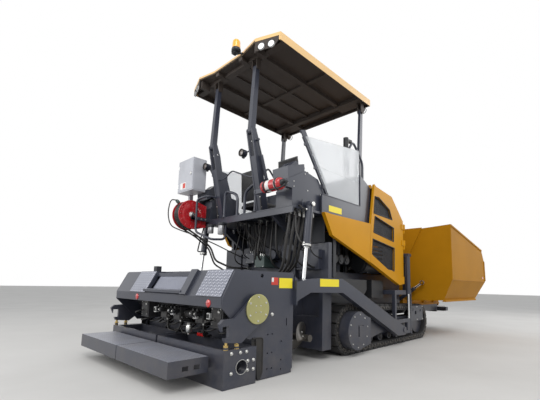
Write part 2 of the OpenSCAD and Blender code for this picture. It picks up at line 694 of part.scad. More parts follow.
// Rear edge of the roof with its lamp corners, as x and y from the centre outward
lamp_corner = [[roof_rear_x - 55, 640], [roof_rear_x + 65, roof_y]];
roof_edge = [[roof_rear_x, 0], [roof_rear_x, 330], lamp_corner[0], lamp_corner[1]];
roof_line = [for (p = roof_edge) p, [roof_front_x, roof_y], [roof_front_x, -roof_y],
             for (i = [3 : -1 : 1]) [roof_edge[i][0], -roof_edge[i][1]]];
lamp_angle = atan2(lamp_corner[1][1] - lamp_corner[0][1], lamp_corner[1][0] - lamp_corner[0][0]);
lamp_d = -28;
// A frame on the lamp corner: along the edge, up, and inward
module on_lamp_corner() {
    translate([lamp_corner[0][0], lamp_corner[0][1], roof_z]) rotate([0, 0, lamp_angle]) rotate([90, 0, 0]) children();
}
ear_t = 14;
// Ears under the roof that take a pair of posts
module roof_ears(x, z, y, half) {
    for (s = [-half - 5 - ear_t, half + 5]) {
        side([[x - post_r, z], [x + post_r, z], [x + post_r, roof_z + 40], [x - post_r, roof_z + 40]], y + s, y + s + ear_t);
        bar_y(x, z, y + s, y + s + ear_t, post_r);
    }
    bar_y(x, z, y - half - 5, y + half + 5, post_bore - 0.5);
}
roof_t = 19;
liner_z = roof_z + rim_h - roof_t - gap;
roof_in = roof_y - 20;
module canopy_roof() {
    color([0.93, 0.78, 0.45]) difference() {
        translate([0, 0, roof_z]) linear_extrude(rim_h) polygon(roof_line);
        // Hollow under the sheet, with a lower band along the rear
        block([roof_rear_x + 110, -roof_in, roof_z - 1], [roof_front_x - 20, roof_in, roof_z + rim_h - roof_t]);
        block([roof_rear_x - 100, -roof_in, roof_z - 1], [roof_rear_x + 130, roof_in, roof_z + rim_h - 45]);
    }
}
front_lamp = [roof_front_x - 33, front_post_y - 30, roof_z - 35];
// Dark liner, beams and ears that hang under the roof
module canopy_frame() {
    color(dark) {
        block([roof_rear_x + 125, -roof_in + 4, liner_z - 10], [roof_front_x - 24, roof_in - 4, liner_z]);
        // Cross beams at the posts and a flat one between them
        for (x = [rear_low_x + post_top[0] - 45, -420])
            block([x, -roof_in + 4, roof_z + 10], [x + 90, roof_in - 4, liner_z - 9]);
        block([-1240, -roof_in + 4, roof_z + 50], [-1180, roof_in - 4, liner_z - 9]);
        for (y = [-170, 130]) block([-2100, y, roof_z + 55], [-400, y + 30, liner_z - 9]);
    }
    color(dark) both() {
        // Long channels, and arms to the rear edge
        block([-2140, 470, roof_z + 25], [roof_front_x - 60, 545, liner_z - 9]);
        block([roof_rear_x + 12, 230, roof_z + 5], [-2090, 300, roof_z + rim_h - 47]);
        block([roof_rear_x + 12, 600, roof_z + 5], [-2090, 650, roof_z + rim_h - 47]);
        roof_ears(rear_low_x + post_top[0], rear_pivot_z + post_top[1], rear_post_y, post_half);
        roof_ears(front_pivot[0] + post_top[0], front_pivot[1] + post_top[1], front_post_y, 22);
        block([-420, 470, roof_z + 10], [-200, front_post_y + 50, roof_z + 40]);
        // Plates that carry the lamps at the rear corners
        on_lamp_corner() translate([0, 0, 2]) linear_extrude(10)
            polygon([[0, -75], [262, -75], [334, 10], [334, 60 - gap], [0, 60 - gap]]);
        block([lamp_corner[0][0] + 30, 600, roof_z - 60], [roof_rear_x + 120, 650, roof_z + 55]);
        // Housings of the front lamps
        bar_x(front_lamp - [38, 0, 0], 76, 50);
        block(front_lamp - [60, 15, 0], front_lamp + [-30, 15, 100]);
    }
}
module roof_lamps() {
    color([0.95, 0.95, 0.9]) both() {
        for (t = [95, 235]) on_lamp_corner() translate([t, lamp_d, -8]) cylinder(h = 10 - gap, r = 48, $fn = 32);
        bar_x(front_lamp + [3 + gap, 0, 0], 6, 44);
    }
}

beacon_at = [-2430, -370, 3935];
module beacon() {
    color("gold") {
        translate(beacon_at) cylinder(h = 95, r = 55, $fn = 48);
        translate(beacon_at + [0, 0, 95]) cylinder(h = 35, r1 = 55, r2 = 28, $fn = 48);
    }
    color(charcoal) {
        translate(beacon_at - [0, 0, 40]) cylinder(h = 40, r = 62, $fn = 48);
        // Slanted arm from the roof's rear edge
        side([[roof_rear_x - gap, roof_z + 64], [roof_rear_x - gap, roof_z + 96],
              [beacon_at[0] + 20, beacon_at[2] - 30], [beacon_at[0] - 40, beacon_at[2] - 30],
              [beacon_at[0] - 30, beacon_at[2] - 62]], beacon_at[1] + 42, beacon_at[1] + 66);
        block([beacon_at[0] - 30, beacon_at[1] - 20, beacon_at[2] - 60], [beacon_at[0] + 30, beacon_at[1] + 60, beacon_at[2] - 38]);
    }
}

conv_z = 500;
conv_y = 460;
conv_rear_x = -1480;
conv_front_x = 3130;
module conveyor() {
    color(steel) {
        block([conv_rear_x, -conv_y, conv_z], [conv_front_x, conv_y, conv_z + 20]);
        for (y = [-conv_y + 30, 0, conv_y - 30])
            block([conv_rear_x, y - 12, conv_z + 20], [conv_front_x, y + 12, conv_z + 50]);
        for (x = [conv_rear_x + 30 : 200 : conv_front_x - 40])
            block([x, -conv_y, conv_z + 35], [x + 30, conv_y, conv_z + 55]);
    }
}

module auger_case() {
    color(charcoal) {
        // Chain case between the two shafts, its hanger and the arm to the rear case
        side([[auger_x - 60, 190], [auger_x - 20, 150], [auger_x + 20, 150], [auger_x + 60, 190],
              [auger_x + 60, 1060], [auger_x - 60, 1060]], -80, 80);
        block([auger_x - 60, -60, 1000], [case_x - case_d - gap, 60, 1060]);
        bar_y(auger_x, auger_z, -80, 80, 120);
        for (z = [600, 760, 920]) block([auger_x - 70, -70, z], [auger_x - 50, 70, z + 30]);
    }
}

module auger(left) {
    on_side(left) color(steel) {
        bar_y(auger_x, auger_z, 80 + gap, 1120, 40);
        translate([auger_x, 120, auger_z]) flight(36, auger_r, 380, 960, 14);
    }
}

wing_x = hopper_x + 17;
hinge_xs = [1700, 2400, 2950];
hinge_lug = 60;
hinge_pin_r = 12;
apron_x = sill_front_x + 100;
module hopper_floor() {
    color(amber) {
        both() {
            block([hopper_x, conv_y + 10, sill_z + gap], [apron_x, wing_hinge_y - 8, sill_z + 40]);
            block([wing_x, wing_hinge_y - 60, sill_z + 40], [apron_x, wing_hinge_y - 32, wing_hinge_z + 22]);
            // Lugs and pins of the wings' hinges
            for (x = hinge_xs) {
                block([x, wing_hinge_y - 60, sill_z + 40], [x + hinge_lug, wing_hinge_y + 6, wing_hinge_z]);
                translate([x, wing_hinge_y, wing_hinge_z]) rotate([0, 90, 0])
                    cylinder(h = hinge_lug, r = 24, $fn = 32);
                translate([x, wing_hinge_y, wing_hinge_z]) rotate([0, 90, 0])
                    cylinder(h = hinge_lug + 150, r = hinge_pin_r, $fn = 32);
            }
        }
        difference() {
            front([[-frame_y, sill_z + gap], [frame_y, sill_z + gap], [frame_y, 1260], [1130, hopper_top_z - 15],
                   [-1130, hopper_top_z - 15], [-frame_y, 1260]], hopper_x - 8, hopper_x + 12);
            block([hopper_x - 50, -conv_y - 10, 400], [hopper_x + 50, conv_y + 10, 950]);
        }
        // Front apron
        block([apron_x, -wing_hinge_y + 32, sill_z - 40], [apron_x + 25, wing_hinge_y - 32, 760]);
    }
}

wing_top = [hopper_front_x - 200, 1748];
wing_brow = [hopper_front_x - 25, 1500];
wing_chin = [hopper_front_x, 1080];
wing_side = [[wing_x, hopper_top_z], wing_top, wing_brow, wing_chin, [hopper_front_x - 255, 660],
             [hopper_front_x - 290, 600], [wing_x, 600]];
// Outline of the wing's floor and side wall, as y and z
wing_out = [[wing_hinge_y + 30, wing_hinge_z + 10], [1490, 690], [hopper_y, 1060], [hopper_y, hopper_top_z]];
module hopper_wing(left) {
    on_side(left) color(amber) {
        intersection() {
            front([for (p = wing_out) p, [hopper_y - hopper_t, hopper_top_z], [hopper_y - hopper_t, 1064],
                   [1482, 690 + hopper_t], [wing_hinge_y + 30, wing_hinge_z + 10 + hopper_t]], wing_x, hopper_front_x);
            side(wing_side, 0, 3000);
        }
        // Knuckles on the hinge pins
        for (x = hinge_xs) difference() {
            union() {
                translate([x + hinge_lug + 3, wing_hinge_y, wing_hinge_z]) rotate([0, 90, 0])
                    cylinder(h = 100, r = 24, $fn = 32);
                block([x + hinge_lug + 3, wing_hinge_y + 8, wing_hinge_z + 4],
                      [x + hinge_lug + 103, wing_hinge_y + 40, wing_hinge_z + 16]);
            }
            translate([x, wing_hinge_y, wing_hinge_z]) rotate([0, 90, 0])
                cylinder(h = 300, r = hinge_pin_r + 0.5, $fn = 32);
        }
        front([for (p = wing_out) p, [1100, hopper_top_z - 30], [1085, 2000], [735, 1300], [738, 720]],
              wing_x, wing_x + hopper_t);
        // Flange under the wing, folded lip along its top and bead along its front edge
        front([[1462, 664], [1530, 664], [1530, 692], [1490, 706]], wing_x, wing_side[4][0] - 40);
        side([[wing_x, hopper_top_z - 30], wing_top - [8, 30], wing_top, [wing_x, hopper_top_z]],
             hopper_y - 1, hopper_y + 12);
        side([wing_brow, wing_chin, wing_chin - [40, 0], wing_brow - [38, -10]], hopper_y - 1, hopper_y + 12);
        // Pin for the cylinder's eye
        translate([wing_eye[0] - 32, wing_eye[1], wing_eye[2]]) rotate([0, 90, 0])
            cylinder(h = wing_x - wing_eye[0] + 32, r = wing_pin_r, $fn = 32);
    }
}

wing_eye_r = 30;
// Wing cylinders lie before the hopper's rear wall: places of the pin and of the rod's eye
wing_pin = [1400, 600, 620];
wing_eye = [1400, 1150, 1000];
wing_pin_r = 16;
wing_dir = (wing_eye - wing_pin) / norm(wing_eye - wing_pin);
// A round bar along X
module bar_x(p, h, r) {
    translate(p - [h / 2, 0, 0]) rotate([0, 90, 0]) cylinder(h = h, r = r, $fn = 32);
}
module wing_barrel(left) {
    on_side(left) color(charcoal) difference() {
        union() {
            bar(wing_pin + wing_dir * 20, wing_pin + wing_dir * 480, 36);
            bar_x(wing_pin, 60, 40);
        }
        bar_x(wing_pin, 80, wing_pin_r + 0.5);
        bar(wing_pin + wing_dir * 60, wing_pin + wing_dir * 490, 21.5);
    }
}
// The rod's eye is wider than its pin by what the linkage drifts
module wing_rod(left) {
    on_side(left) color(steel) difference() {
        union() {
            bar(wing_pin + wing_dir * 400, wing_eye - wing_dir * 30, 21);
            bar_x(wing_eye, 44, 42);
        }
        bar_x(wing_eye, 60, wing_eye_r);
    }
}

push_x = sill_front_x + 130;
push_z = 440;
push_pin_r = 25;
roller_x = push_x + 155;
axle_r = 18;
module push_beam() {
    color(charcoal) {
        difference() {
            block([push_x - 60, -900, push_z - 40], [push_x + 60, 900, push_z + 45]);
            translate([push_x, 0, push_z - 60]) cylinder(h = 120, r = push_pin_r + 0.5, $fn = 48);
        }
        // Brackets of the rollers
        difference() {
            for (y = [-860, -140, 80, 800])
                side([[push_x + 50, push_z - 38], [roller_x, push_z - 38], [roller_x + 30, push_z - 16],
                      [roller_x + 30, push_z + 16], [roller_x, push_z + 38], [push_x + 50, push_z + 38]], y, y + 60);
            bar_y(roller_x, push_z, -861, 861, axle_r + 0.5);
        }
    }
}
module push_roller(left) {
    on_side(left) color(steel) {
        bar_y(roller_x, push_z, 146, 794, 62);
        bar_y(roller_x, push_z, 82, 858, axle_r);
    }
}

level_x = 805;
level_z = 800;
level_rod_r = 21;
level_y = track_out + 50;
block_z = [150, 390];
block_x = [360, 860];
rail_y = [track_out + 6, arm_y - arm_t - 6];
module tow_guides() {
    color(charcoal) both() {
        // Rails that the tow blocks slide between, on a bracket over the track
        for (x = [[block_x[0] - 60, block_x[0] - 10], [block_x[1] + 10, block_x[1] + 50]])
            block([x[0], rail_y[0], 130], [x[1], rail_y[1], 860]);
        block([block_x[0] - 60, frame_y + gap, 790], [700, rail_y[1], 860]);
        block([block_x[1], frame_y + gap, 790], [block_x[1] + 50, rail_y[1], 860]);
        block([700, frame_y + gap, 790], [block_x[1], track_out - 10, 860]);
        // Post and ear of the levelling cylinder
        block([block_x[1] - 20, level_y - 120, 860], [block_x[1] + 40, level_y - 65, 1500]);
        block([level_x - 30, level_y - 65, 1440], [block_x[1] + 20, level_y + 30, 1490]);
        difference() {
            union() {
                translate([level_x, level_y, level_z]) cylinder(h = 640, r = 40, $fn = 48);
                translate([level_x, level_y, level_z]) cylinder(h = 50, r = 48, $fn = 48);
            }
            translate([level_x, level_y, level_z - 10]) cylinder(h = 620, r = level_rod_r + 0.5, $fn = 48);
        }
        block([level_x - 20, level_y - 70, 1340], [block_x[1] + 10, level_y - 30, 1380]);
    }
}
module tow_blocks() {
    color(charcoal) both() difference() {
        union() {
            block([block_x[0], rail_y[0], block_z[0]], [block_x[1], rail_y[1] - 2, block_z[1]]);
            bar_y(tow_x, tow_z, rail_y[1] - 4, arm_y + 10, tow_pin_r);
            translate([level_x, level_y, block_z[1]]) cylinder(h = 560, r = level_rod_r, $fn = 48);
        }
        block([tow_x + 50, rail_y[0] - 10, block_z[0] + 50], [level_x - 65, rail_y[1] + 10, block_z[1] - 60]);
    }
}

arm_rear_x = screed_front_x + gap;
arm_line = [[arm_rear_x, 943], [-1960, 975], [-1764, 995], [-1290, 1000], [-1039, 908], [411, 300], [500, 270],
            [500, 190], [440, 160], [223, 165], [-1275, 826], [-1900, 831], [arm_rear_x, 735]];
lift_eye = [-1860, 950];
module tow_arms() {
    color(charcoal) both() {
        difference() {
            side(arm_line, arm_y - arm_t, arm_y);
            bar_y(tow_x, tow_z, arm_y - arm_t - 1, arm_y + 1, tow_pin_r + 0.5);
        }
        bar_y(lift_eye[0], 920, lift_y + 32, arm_y - arm_t, 16);
        // Plates on the screed's front
        block([arm_rear_x, arm_y - 130, 700], [arm_rear_x + 15, arm_y, 960]);
        // Stiffening ribs above and below the rear end
        side([[arm_rear_x + 15, 960], [arm_rear_x + 15, 1010], [-2060, 965]], arm_y - 60, arm_y - 45);
        side([[arm_rear_x + 15, 700], [-2040, 752], [arm_rear_x + 15, 760]], arm_y - 60, arm_y - 45);
    }
}

lift_dir = ([lift_eye[0], 0, lift_eye[1]] - [lift_top[0], 0, lift_top[1]]) / norm(lift_eye - lift_top);
lift_at = [lift_top[0], lift_y, lift_top[1]];
module lift_barrels() {
    color(charcoal) both() difference() {
        union() {
            bar(lift_at + lift_dir * 20, lift_at + lift_dir * 520, 46);
            bar(lift_at + lift_dir * 470, lift_at + lift_dir * 525, 54);
            bar_y(lift_top[0], lift_top[1], lift_y - 35, lift_y + 35, 46);
        }
        bar_y(lift_top[0], lift_top[1], lift_y - 50, lift_y + 50, lift_pin_r + 0.5);
        bar(lift_at + lift_dir * 100, lift_at + lift_dir * 530, 22.5);
    }
}
module lift_rods() {
    color(steel) both() {
        bar(lift_at + lift_dir * 440, lift_at + lift_dir * 930, 22);
        bar_y(lift_eye[0], lift_eye[1], lift_y - 26, lift_y + 26, 34);
    }
}

guide = [-2688, 679];
guide_wall = 25;
end_t = 14;
// Holes that take the end plates' extra plates, as x and z
end_holes = [for (x = [-2500, -2440]) for (z = [90, 240, 420]) [x, z], for (z = [60, 153, 336]) [-2310, z]];
box_rear_x = screed_front_x - screed_depth;
module screed_frame() {
    color(charcoal) {
        // Main screed box with its sole
        block([box_rear_x, -screed_y, 0], [screed_front_x, screed_y, 440]);
        block([screed_front_x - 50, -screed_y, 440], [screed_front_x, screed_y, 980]);
        // End plates
        both() difference() {
            side([[screed_front_x, 50], [screed_front_x, 1035], [-2935, 1035], [-3060, 790], [-3060, 690],
                  [-2760, 400], [box_rear_x - 20, 400], [box_rear_x - 20, 5], [screed_front_x - 50, 5]],
                 screed_y, screed_y + end_t);
            bar_y(guide[0], guide[1], screed_y - 10, screed_y + end_t + 10, guide_r + 5);
            bar_y(-2599, 997, screed_y - 10, screed_y + end_t + 10, 20);
            block([-2246, screed_y - 10, 490], [-2232, screed_y + end_t + 10, 566]);
            for (p = end_holes) bar_y(p[0], p[1], screed_y - 10, screed_y + end_t + 10, 9);
        }
        // Black guard strip behind the end plates, down to the sole
        both() side([[-2700, 380], [-2640, 380], [-2640, 60], [-2668, 10], [box_rear_x - 30, 10], [box_rear_x - 30, 400],
                     [-2700, 400]], screed_y - 40, screed_y + 1);
        // Ribs between the box and the deck
        both() difference() {
            block([-2540, 470, 440], [screed_front_x - 50, 490, 960]);
            bar_y(guide[0], guide[1], 400, 600, guide_r + 40);
        }
    }
}
deck_t = 45;
deck_low = [-3062, 789];
deck_high = [-2928, screed_top_z];
recess = [-480, 340];
// A plate on the deck's slope, t thick, from y0 to y1
deck_out = [deck_low[1] - deck_high[1], deck_high[0] - deck_low[0]] / norm(deck_high - deck_low);
module on_slope(t, y0, y1) {
    side([deck_low, deck_low + deck_out * t, deck_high + deck_out * t, deck_high], y0, y1);
}
module screed_deck() {
    color(charcoal) {
        difference() {
            side([[deck_low[0], 695], deck_low, deck_high, [screed_front_x, screed_top_z],
                  [screed_front_x, screed_top_z - deck_t], [-2900, screed_top_z - deck_t], [-3032, 775], [-3032, 695]],
                 -screed_y + gap, screed_y - gap);
            side([[-3200, 835], [-2850, 835], [-2800, 1100], [-3200, 1100]], recess[0], recess[1]);
        }
        // Step in the middle with its sloping back
        block([deck_low[0] - 20, recess[0] - 20, 805], [-2960, recess[1] + 20, 835]);
        side([[-2985, 820], [-2880, screed_top_z - deck_t], [-2865, screed_top_z - deck_t], [-2970, 820]],
             recess[0] - 20, recess[1] + 20);
        for (z = [860 : 40 : 960]) let (x = -2985 + (z - 820) * 0.583) block([x - 12, -400, z], [x + 8, 260, z + 14]);
        block([-2925, recess[0] - 10, screed_top_z - deck_t - 15], [-2890, recess[1] + 10, screed_top_z - 20]);
        // Checker plates and the cheek beside the recess
        for (y = [[-screed_y + 8, -765], [recess[1] + 5, 770]]) on_slope(6, y[0], y[1]);
        on_slope(28, -600, recess[0]);
        for (y = [-screed_y + 120, -640, 200, 900]) block([-2700, y, screed_top_z - 1], [-2640, y + 40, screed_top_z + 8]);
    }
}
module screed_gear() {
    color(dark) {
        // Housing of the guide tubes
        difference() {
            union() {
                bar_y(guide[0], guide[1], -screed_y + gap, screed_y - gap, guide_r + guide_wall);
                for (y = [-900, -560, -200, 160, 520, 860])
                    side([[box_rear_x + 10, 440 + gap], [box_rear_x + 60, 440 + gap], guide + [62, -50],
                          guide + [30, -84]], y - 60, y + 60);
                for (y = [-1000, 560]) block([-2900, y, 480], [-2745, y + 200, 700]);
                // Valve blocks with their solenoids
                for (y = [-640, -180, 120]) {
                    block([-2880, y, 500], [-2744, y + 150, 640]);
                    for (d = [35, 115]) bar_x([-2915, y + d, 600], 90, 24);
                }
                bar_y(-2795, 570, -500, -170, 45);
            }
            bar_y(guide[0], guide[1], -screed_y, screed_y, guide_r + 0.5);
        }
        // Cable box on the deck's rear edge
        block([-2920, 380, screed_top_z + gap], [-2860, 460, screed_top_z + 65]);
        block([-2745, -1100, 540], [-2695, 1100, 600]);
    }
}
ext_top = 334;
ext_x = [-3050, -2680];
ext_y = screed_y + 10;
flange = [ext_y, ext_y + 45];
flange_hole = [-2852, 171];
flange_holes = [[-2970, 300], [-2870, 300], [-2800, 300], [-2966, 130],
                for (x = [-2782, -2714]) for (z = [134, 216]) [x, z]];
bracket_y = [screed_y + 22, screed_y + 60];
bracket = [[-3110, 563], [-3041, 400], [-2867, 381], [-2744, 472], [-2610, 560], [-2560, 620], [-2560, 740],
           [-2640, 800], [-2740, 790], [-2950, 605], [-3070, 600]];
module extension(left) {
    on_side(left) color(charcoal) {
        difference() {
            union() {
                block([ext_x[0], 20, 0], [ext_x[1], ext_y, ext_top]);
                block([ext_x[0], ext_y, 0], [ext_x[1], flange[1], ext_top]);
            }
            block([ext_x[0] + 30, 60, 30], [ext_x[1] - 30, ext_y - 50, ext_top + 1]);
            bar_y(flange_hole[0], flange_hole[1], ext_y - 100, flange[1] + 10, 60);
            for (p = flange_holes) bar_y(p[0], p[1], ext_y - 20, flange[1] + 1, 9);
        }
        // Guide tube, with its round cover on the bracket plate
        difference() {
            bar_y(guide[0], guide[1], 60, ext_y + 30, guide_r);
            bar_y(guide[0], guide[1], 50, ext_y - 50, guide_r - 15);
        }
        difference() {
            side(bracket, bracket_y[0], bracket_y[1]);
            block([-3080, bracket_y[0] - 10, 440], [-3010, bracket_y[1] + 10, 540]);
        }
        difference() {
            bar_y(guide[0], guide[1], bracket_y[1] - 1, bracket_y[1] + 12, 140);
            // Its ring of outer and inner bolt seats
            for (a = [30 : 60 : 330]) bar_y(guide[0] + 112 * cos(a), guide[1] + 112 * sin(a), bracket_y[1] + 6,
                                            bracket_y[1] + 13, 15);
            for (a = [45 : 90 : 315]) bar_y(guide[0] + 42 * cos(a), guide[1] + 42 * sin(a), bracket_y[1] + 6,
                                            bracket_y[1] + 13, 11);
        }
        // Height screws between the bracket and the box
        for (x = [-3020, -2900]) {
            translate([x, bracket_y[0] + 14, ext_top - 60]) cylinder(h = 120, r = 12, $fn = 24);
            translate([x, bracket_y[0] + 14, ext_top - 1]) cylinder(h = 22, r = 21, $fn = 6);
        }
        // Footboard on its ribs, with lightening slots in its end
        block([foot_rear_x, 6, foot_z - 12], [foot_front_x, foot_y, foot_z]);
        block([foot_rear_x, 6, 133], [foot_rear_x + 12, foot_y, foot_z - 11]);
        block([foot_front_x - 12, 6, 190], [foot_front_x, foot_y, foot_z - 11]);
        for (y = [6, 530, foot_y - 12]) difference() {
            block([foot_rear_x, y, 133], [foot_front_x, y + 12, foot_z - 11]);
            for (x = [foot_rear_x + 130, foot_rear_x + 240]) block([x, y - 1, 175], [x + 60, y + 13, 215]);
        }
        for (y = [80, foot_y - 60]) difference() {
            block([foot_front_x - 10, y, 160], [ext_x[0] + 1, y + 14, 256]);
            block([foot_front_x + 8, y - 1, 190], [foot_front_x + 28, y + 15, 226]);
        }
    }
}
// Routes of the two hoses from the reel down to the case behind the engine
hose_a = [[-2290, 800, 1693], [-2150, 760, 1610], [-1960, 690, 1450], [-1930, 600, 1250], [-1760, 440, 1150],
          [-1600, 400, 1150]];
hose_b = [[-2330, 860, 1693], [-2140, 830, 1600], [-1950, 760, 1440], [-1890, 680, 1200], [-1760, 520, 1080],
          [-1600, 490, 1080]];
// The bundle that hangs from the floor down to the case, hose by hose outward
bundle_n = 4;
bundle_r = 17;
module hoses() {
    color(dark) {
        tube(concat(hose_a, [[case_x - case_d - gap, 400, 1150]]), 14, 60);
        tube(concat(hose_b, [[case_x - case_d - gap, 490, 1080]]), 12, 60);
        for (i = [0 : bundle_n - 1]) let (x = -1660 - 95 * i, z = 1130 - 25 * i)
            tube([[x, -900 - 12 * i, floor_z - floor_t - gap], [x, -900 - 12 * i, 1720], [x - 30, -890 - 12 * i, 1500],
                  [x + 10, -800 - 10 * i, z + 60], [x + 60, -600 - 10 * i, z - 60],
                  [-1560, -470 + 90 * i, 1060], [case_x - case_d - gap, -470 + 90 * i, 1060]], bundle_r, 110);
    }
}

module place() {
    translate([mid_x, 0, 0]) children();
}
place() main_frame();
place() engine_block();
place() track(false);  // track_right
place() track(true);  // track_left
place() track_frames();
place() rear_case();
place() side_tanks();
place() hood_top();
place() hood_rear_panels();
place() hood_door(false);  // hood_door_right
place() hood_door(true);  // hood_door_left
place() grilles(false);  // grilles_right
place() grilles(true);  // grilles_left
place() platform();
place() consoles();
place() seat(false);  // seat_right
place() seat(true);  // seat_left
place() cabinet();
place() hose_reel();
place() extinguisher();
place() exhaust_stack();  // exhaust
place() windscreens();
place() screen_frames();
place() handrails();
place() canopy_supports();
place() rear_posts();
place() front_posts();
place() canopy_roof();
place() canopy_frame();
place() roof_lamps();
place() beacon();
place() conveyor();
place() auger_case();
place() auger(false);  // auger_right
place() auger(true);  // auger_left
place() hopper_floor();
place() hopper_wing(false);  // hopper_wing_right
place() hopper_wing(true);  // hopper_wing_left
place() wing_barrel(false);  // wing_barrel_right
place() wing_barrel(true);  // wing_barrel_left
place() wing_rod(false);  // wing_rod_right
place() wing_rod(true);  // wing_rod_left
place() push_beam();
place() push_roller(false);  // push_roller_right
place() push_roller(true);  // push_roller_left
place() tow_guides();
place() tow_blocks();
place() tow_arms();
place() lift_barrels();
place() lift_rods();
place() screed_frame();
place() screed_deck();
place() screed_gear();
place() extension(false);  // extension_right
place() extension(true);  // extension_left
place() hoses();
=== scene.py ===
"""Looks of the road paver: finish, camera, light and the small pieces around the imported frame."""
import json
import random
from math import acos, atan2, cos, exp, hypot, pi, radians, sin

import bmesh
import bpy
from mathutils import Matrix, Vector

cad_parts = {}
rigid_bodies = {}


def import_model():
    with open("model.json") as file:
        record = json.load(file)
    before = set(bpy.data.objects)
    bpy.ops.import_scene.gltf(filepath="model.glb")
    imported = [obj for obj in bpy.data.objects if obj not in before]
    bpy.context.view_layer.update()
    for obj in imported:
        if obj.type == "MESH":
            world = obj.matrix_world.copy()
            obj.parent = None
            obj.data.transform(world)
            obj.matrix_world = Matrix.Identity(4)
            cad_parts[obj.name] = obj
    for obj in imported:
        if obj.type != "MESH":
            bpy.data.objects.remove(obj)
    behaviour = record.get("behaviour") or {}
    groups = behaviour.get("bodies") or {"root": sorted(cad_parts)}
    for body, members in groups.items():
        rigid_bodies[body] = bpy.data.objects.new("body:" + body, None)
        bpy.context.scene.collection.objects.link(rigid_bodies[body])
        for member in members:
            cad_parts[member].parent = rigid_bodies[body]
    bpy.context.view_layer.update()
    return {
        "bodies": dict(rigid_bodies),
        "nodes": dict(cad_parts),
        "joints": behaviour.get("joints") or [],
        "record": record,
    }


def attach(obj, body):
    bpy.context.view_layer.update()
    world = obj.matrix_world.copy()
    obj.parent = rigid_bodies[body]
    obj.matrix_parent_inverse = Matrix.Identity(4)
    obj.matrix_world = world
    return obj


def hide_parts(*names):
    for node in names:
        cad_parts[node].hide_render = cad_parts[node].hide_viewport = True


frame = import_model()
nodes = frame["nodes"]

# The drawing's own x is moved by this much to put the machine's box on the origin
MID = -0.0655
PHOTO_W, PHOTO_H = 540, 400
CAMERA_AT = (-4.924, -3.795, 0.915)
CAMERA_YAW, CAMERA_PITCH, CAMERA_ROLL = (radians(a) for a in (42.51, 7.35, -1.14))
FOCAL_PX = 347.16
PRINCIPAL_PX = (297.15, 240.07)
SENSOR_MM = 36.0
# Directions, and the stand's floor and the rear case's wall, in millimetres
AHEAD, BACK, LEFT, RIGHT = (1, 0, 0), (-1, 0, 0), (0, 1, 0), (0, -1, 0)
UP, DOWN = (0, 0, 1), (0, 0, -1)
FLOOR_TOP, FLOOR_UNDER, CASE_REAR = 1860.3, 1829, -1420.6


def at(x, y, z):
    """A point of the drawing's frame in the row's frame, in metres."""
    return Vector((x + MID, y, z))


# Camera, light and floor
def make_camera():
    data = bpy.data.cameras.new("camera")
    data.sensor_fit = "HORIZONTAL"
    data.sensor_width = SENSOR_MM
    data.lens = FOCAL_PX / PHOTO_W * SENSOR_MM
    data.shift_x = (PHOTO_W / 2 - PRINCIPAL_PX[0]) / PHOTO_W
    data.shift_y = (PRINCIPAL_PX[1] - PHOTO_H / 2) / PHOTO_W
    cam = bpy.data.objects.new("camera", data)
    bpy.context.scene.collection.objects.link(cam)
    y, p, r = CAMERA_YAW, CAMERA_PITCH, CAMERA_ROLL
    forward = Vector((cos(y) * cos(p), sin(y) * cos(p), sin(p)))
    level = Vector((sin(y), -cos(y), 0))
    down = forward.cross(level)
    right = cos(r) * level + sin(r) * down
    up = sin(r) * level - cos(r) * down
    turn = Matrix((right, up, -forward)).transposed().to_4x4()
    cam.matrix_world = Matrix.Translation(at(*CAMERA_AT)) @ turn
    bpy.context.scene.camera = cam


def make_light(name, place, target, size, power):
    data = bpy.data.lights.new(name, "AREA")
    data.shape = "RECTANGLE"
    data.size, data.size_y = size
    data.energy = power
    lamp = bpy.data.objects.new(name, data)
    bpy.context.scene.collection.objects.link(lamp)
    lamp.location = place
    lamp.rotation_mode = "QUATERNION"
    lamp.rotation_quaternion = (Vector(target) - Vector(place)).to_track_quat("-Z", "Y")


# Materials
class Nodes:
    """A node tree made afresh: add() makes a node and links or sets its inputs."""

    def __init__(self, tree):
        self.tree = tree
        tree.nodes.clear()

    def add(self, kind, inputs=(), **props):
        n = self.tree.nodes.new(kind)
        for key, value in props.items():
            setattr(n, key, value)
        for key, value in dict(inputs).items():
            self.put(n.inputs[key], value)
        return n

    def put(self, socket, value):
        if isinstance(value, bpy.types.NodeSocket):
            self.tree.links.new(value, socket)
        elif isinstance(value, bpy.types.Node):
            self.tree.links.new(value.outputs[0], socket)
        elif isinstance(value, tuple) and len(value) == 3 and socket.type == "RGBA":
            socket.default_value = (*value, 1)
        else:
            socket.default_value = value

    def math(self, op, a, b=0.0, clamp=False):
        return self.add("ShaderNodeMath", {0: a, 1: b}, operation=op, use_clamp=clamp).outputs[0]


class Shader(Nodes):
    """A material: set() links or sets what its surface takes."""

    def __init__(self, name):
        self.mat = bpy.data.materials.new(name)
        self.mat.use_nodes = True
        super().__init__(self.mat.node_tree)
        self.bsdf = self.add("ShaderNodeBsdfPrincipled")
        self.add("ShaderNodeOutputMaterial", {0: self.bsdf})

    def set(self, **values):
        for key, value in values.items():
            self.put(self.bsdf.inputs[key.replace("_", " ")], value)

    def mix(self, share, a, b):
        n = self.add("ShaderNodeMix", {0: share}, data_type="RGBA")
        self.put(n.inputs[6], a)
        self.put(n.inputs[7], b)
        return n.outputs[2]

    def place(self):
        return self.add("ShaderNodeTexCoord").outputs["Object"]

    def noise(self, scale, detail=4.0, rough=0.55):
        values = {"Vector": self.place(), "Scale": scale, "Detail": detail, "Roughness": rough}
        return self.add("ShaderNodeTexNoise", values).outputs[0]

    def bump(self, height, strength, normal):
        values = {"Height": height, "Strength": strength, "Distance": 0.002, "Normal": normal}
        return self.add("ShaderNodeBump", values)

    def ramp(self, value, low, high):
        return self.add("ShaderNodeMapRange", {0: value, 1: low, 2: high}, clamp=True).outputs[0]


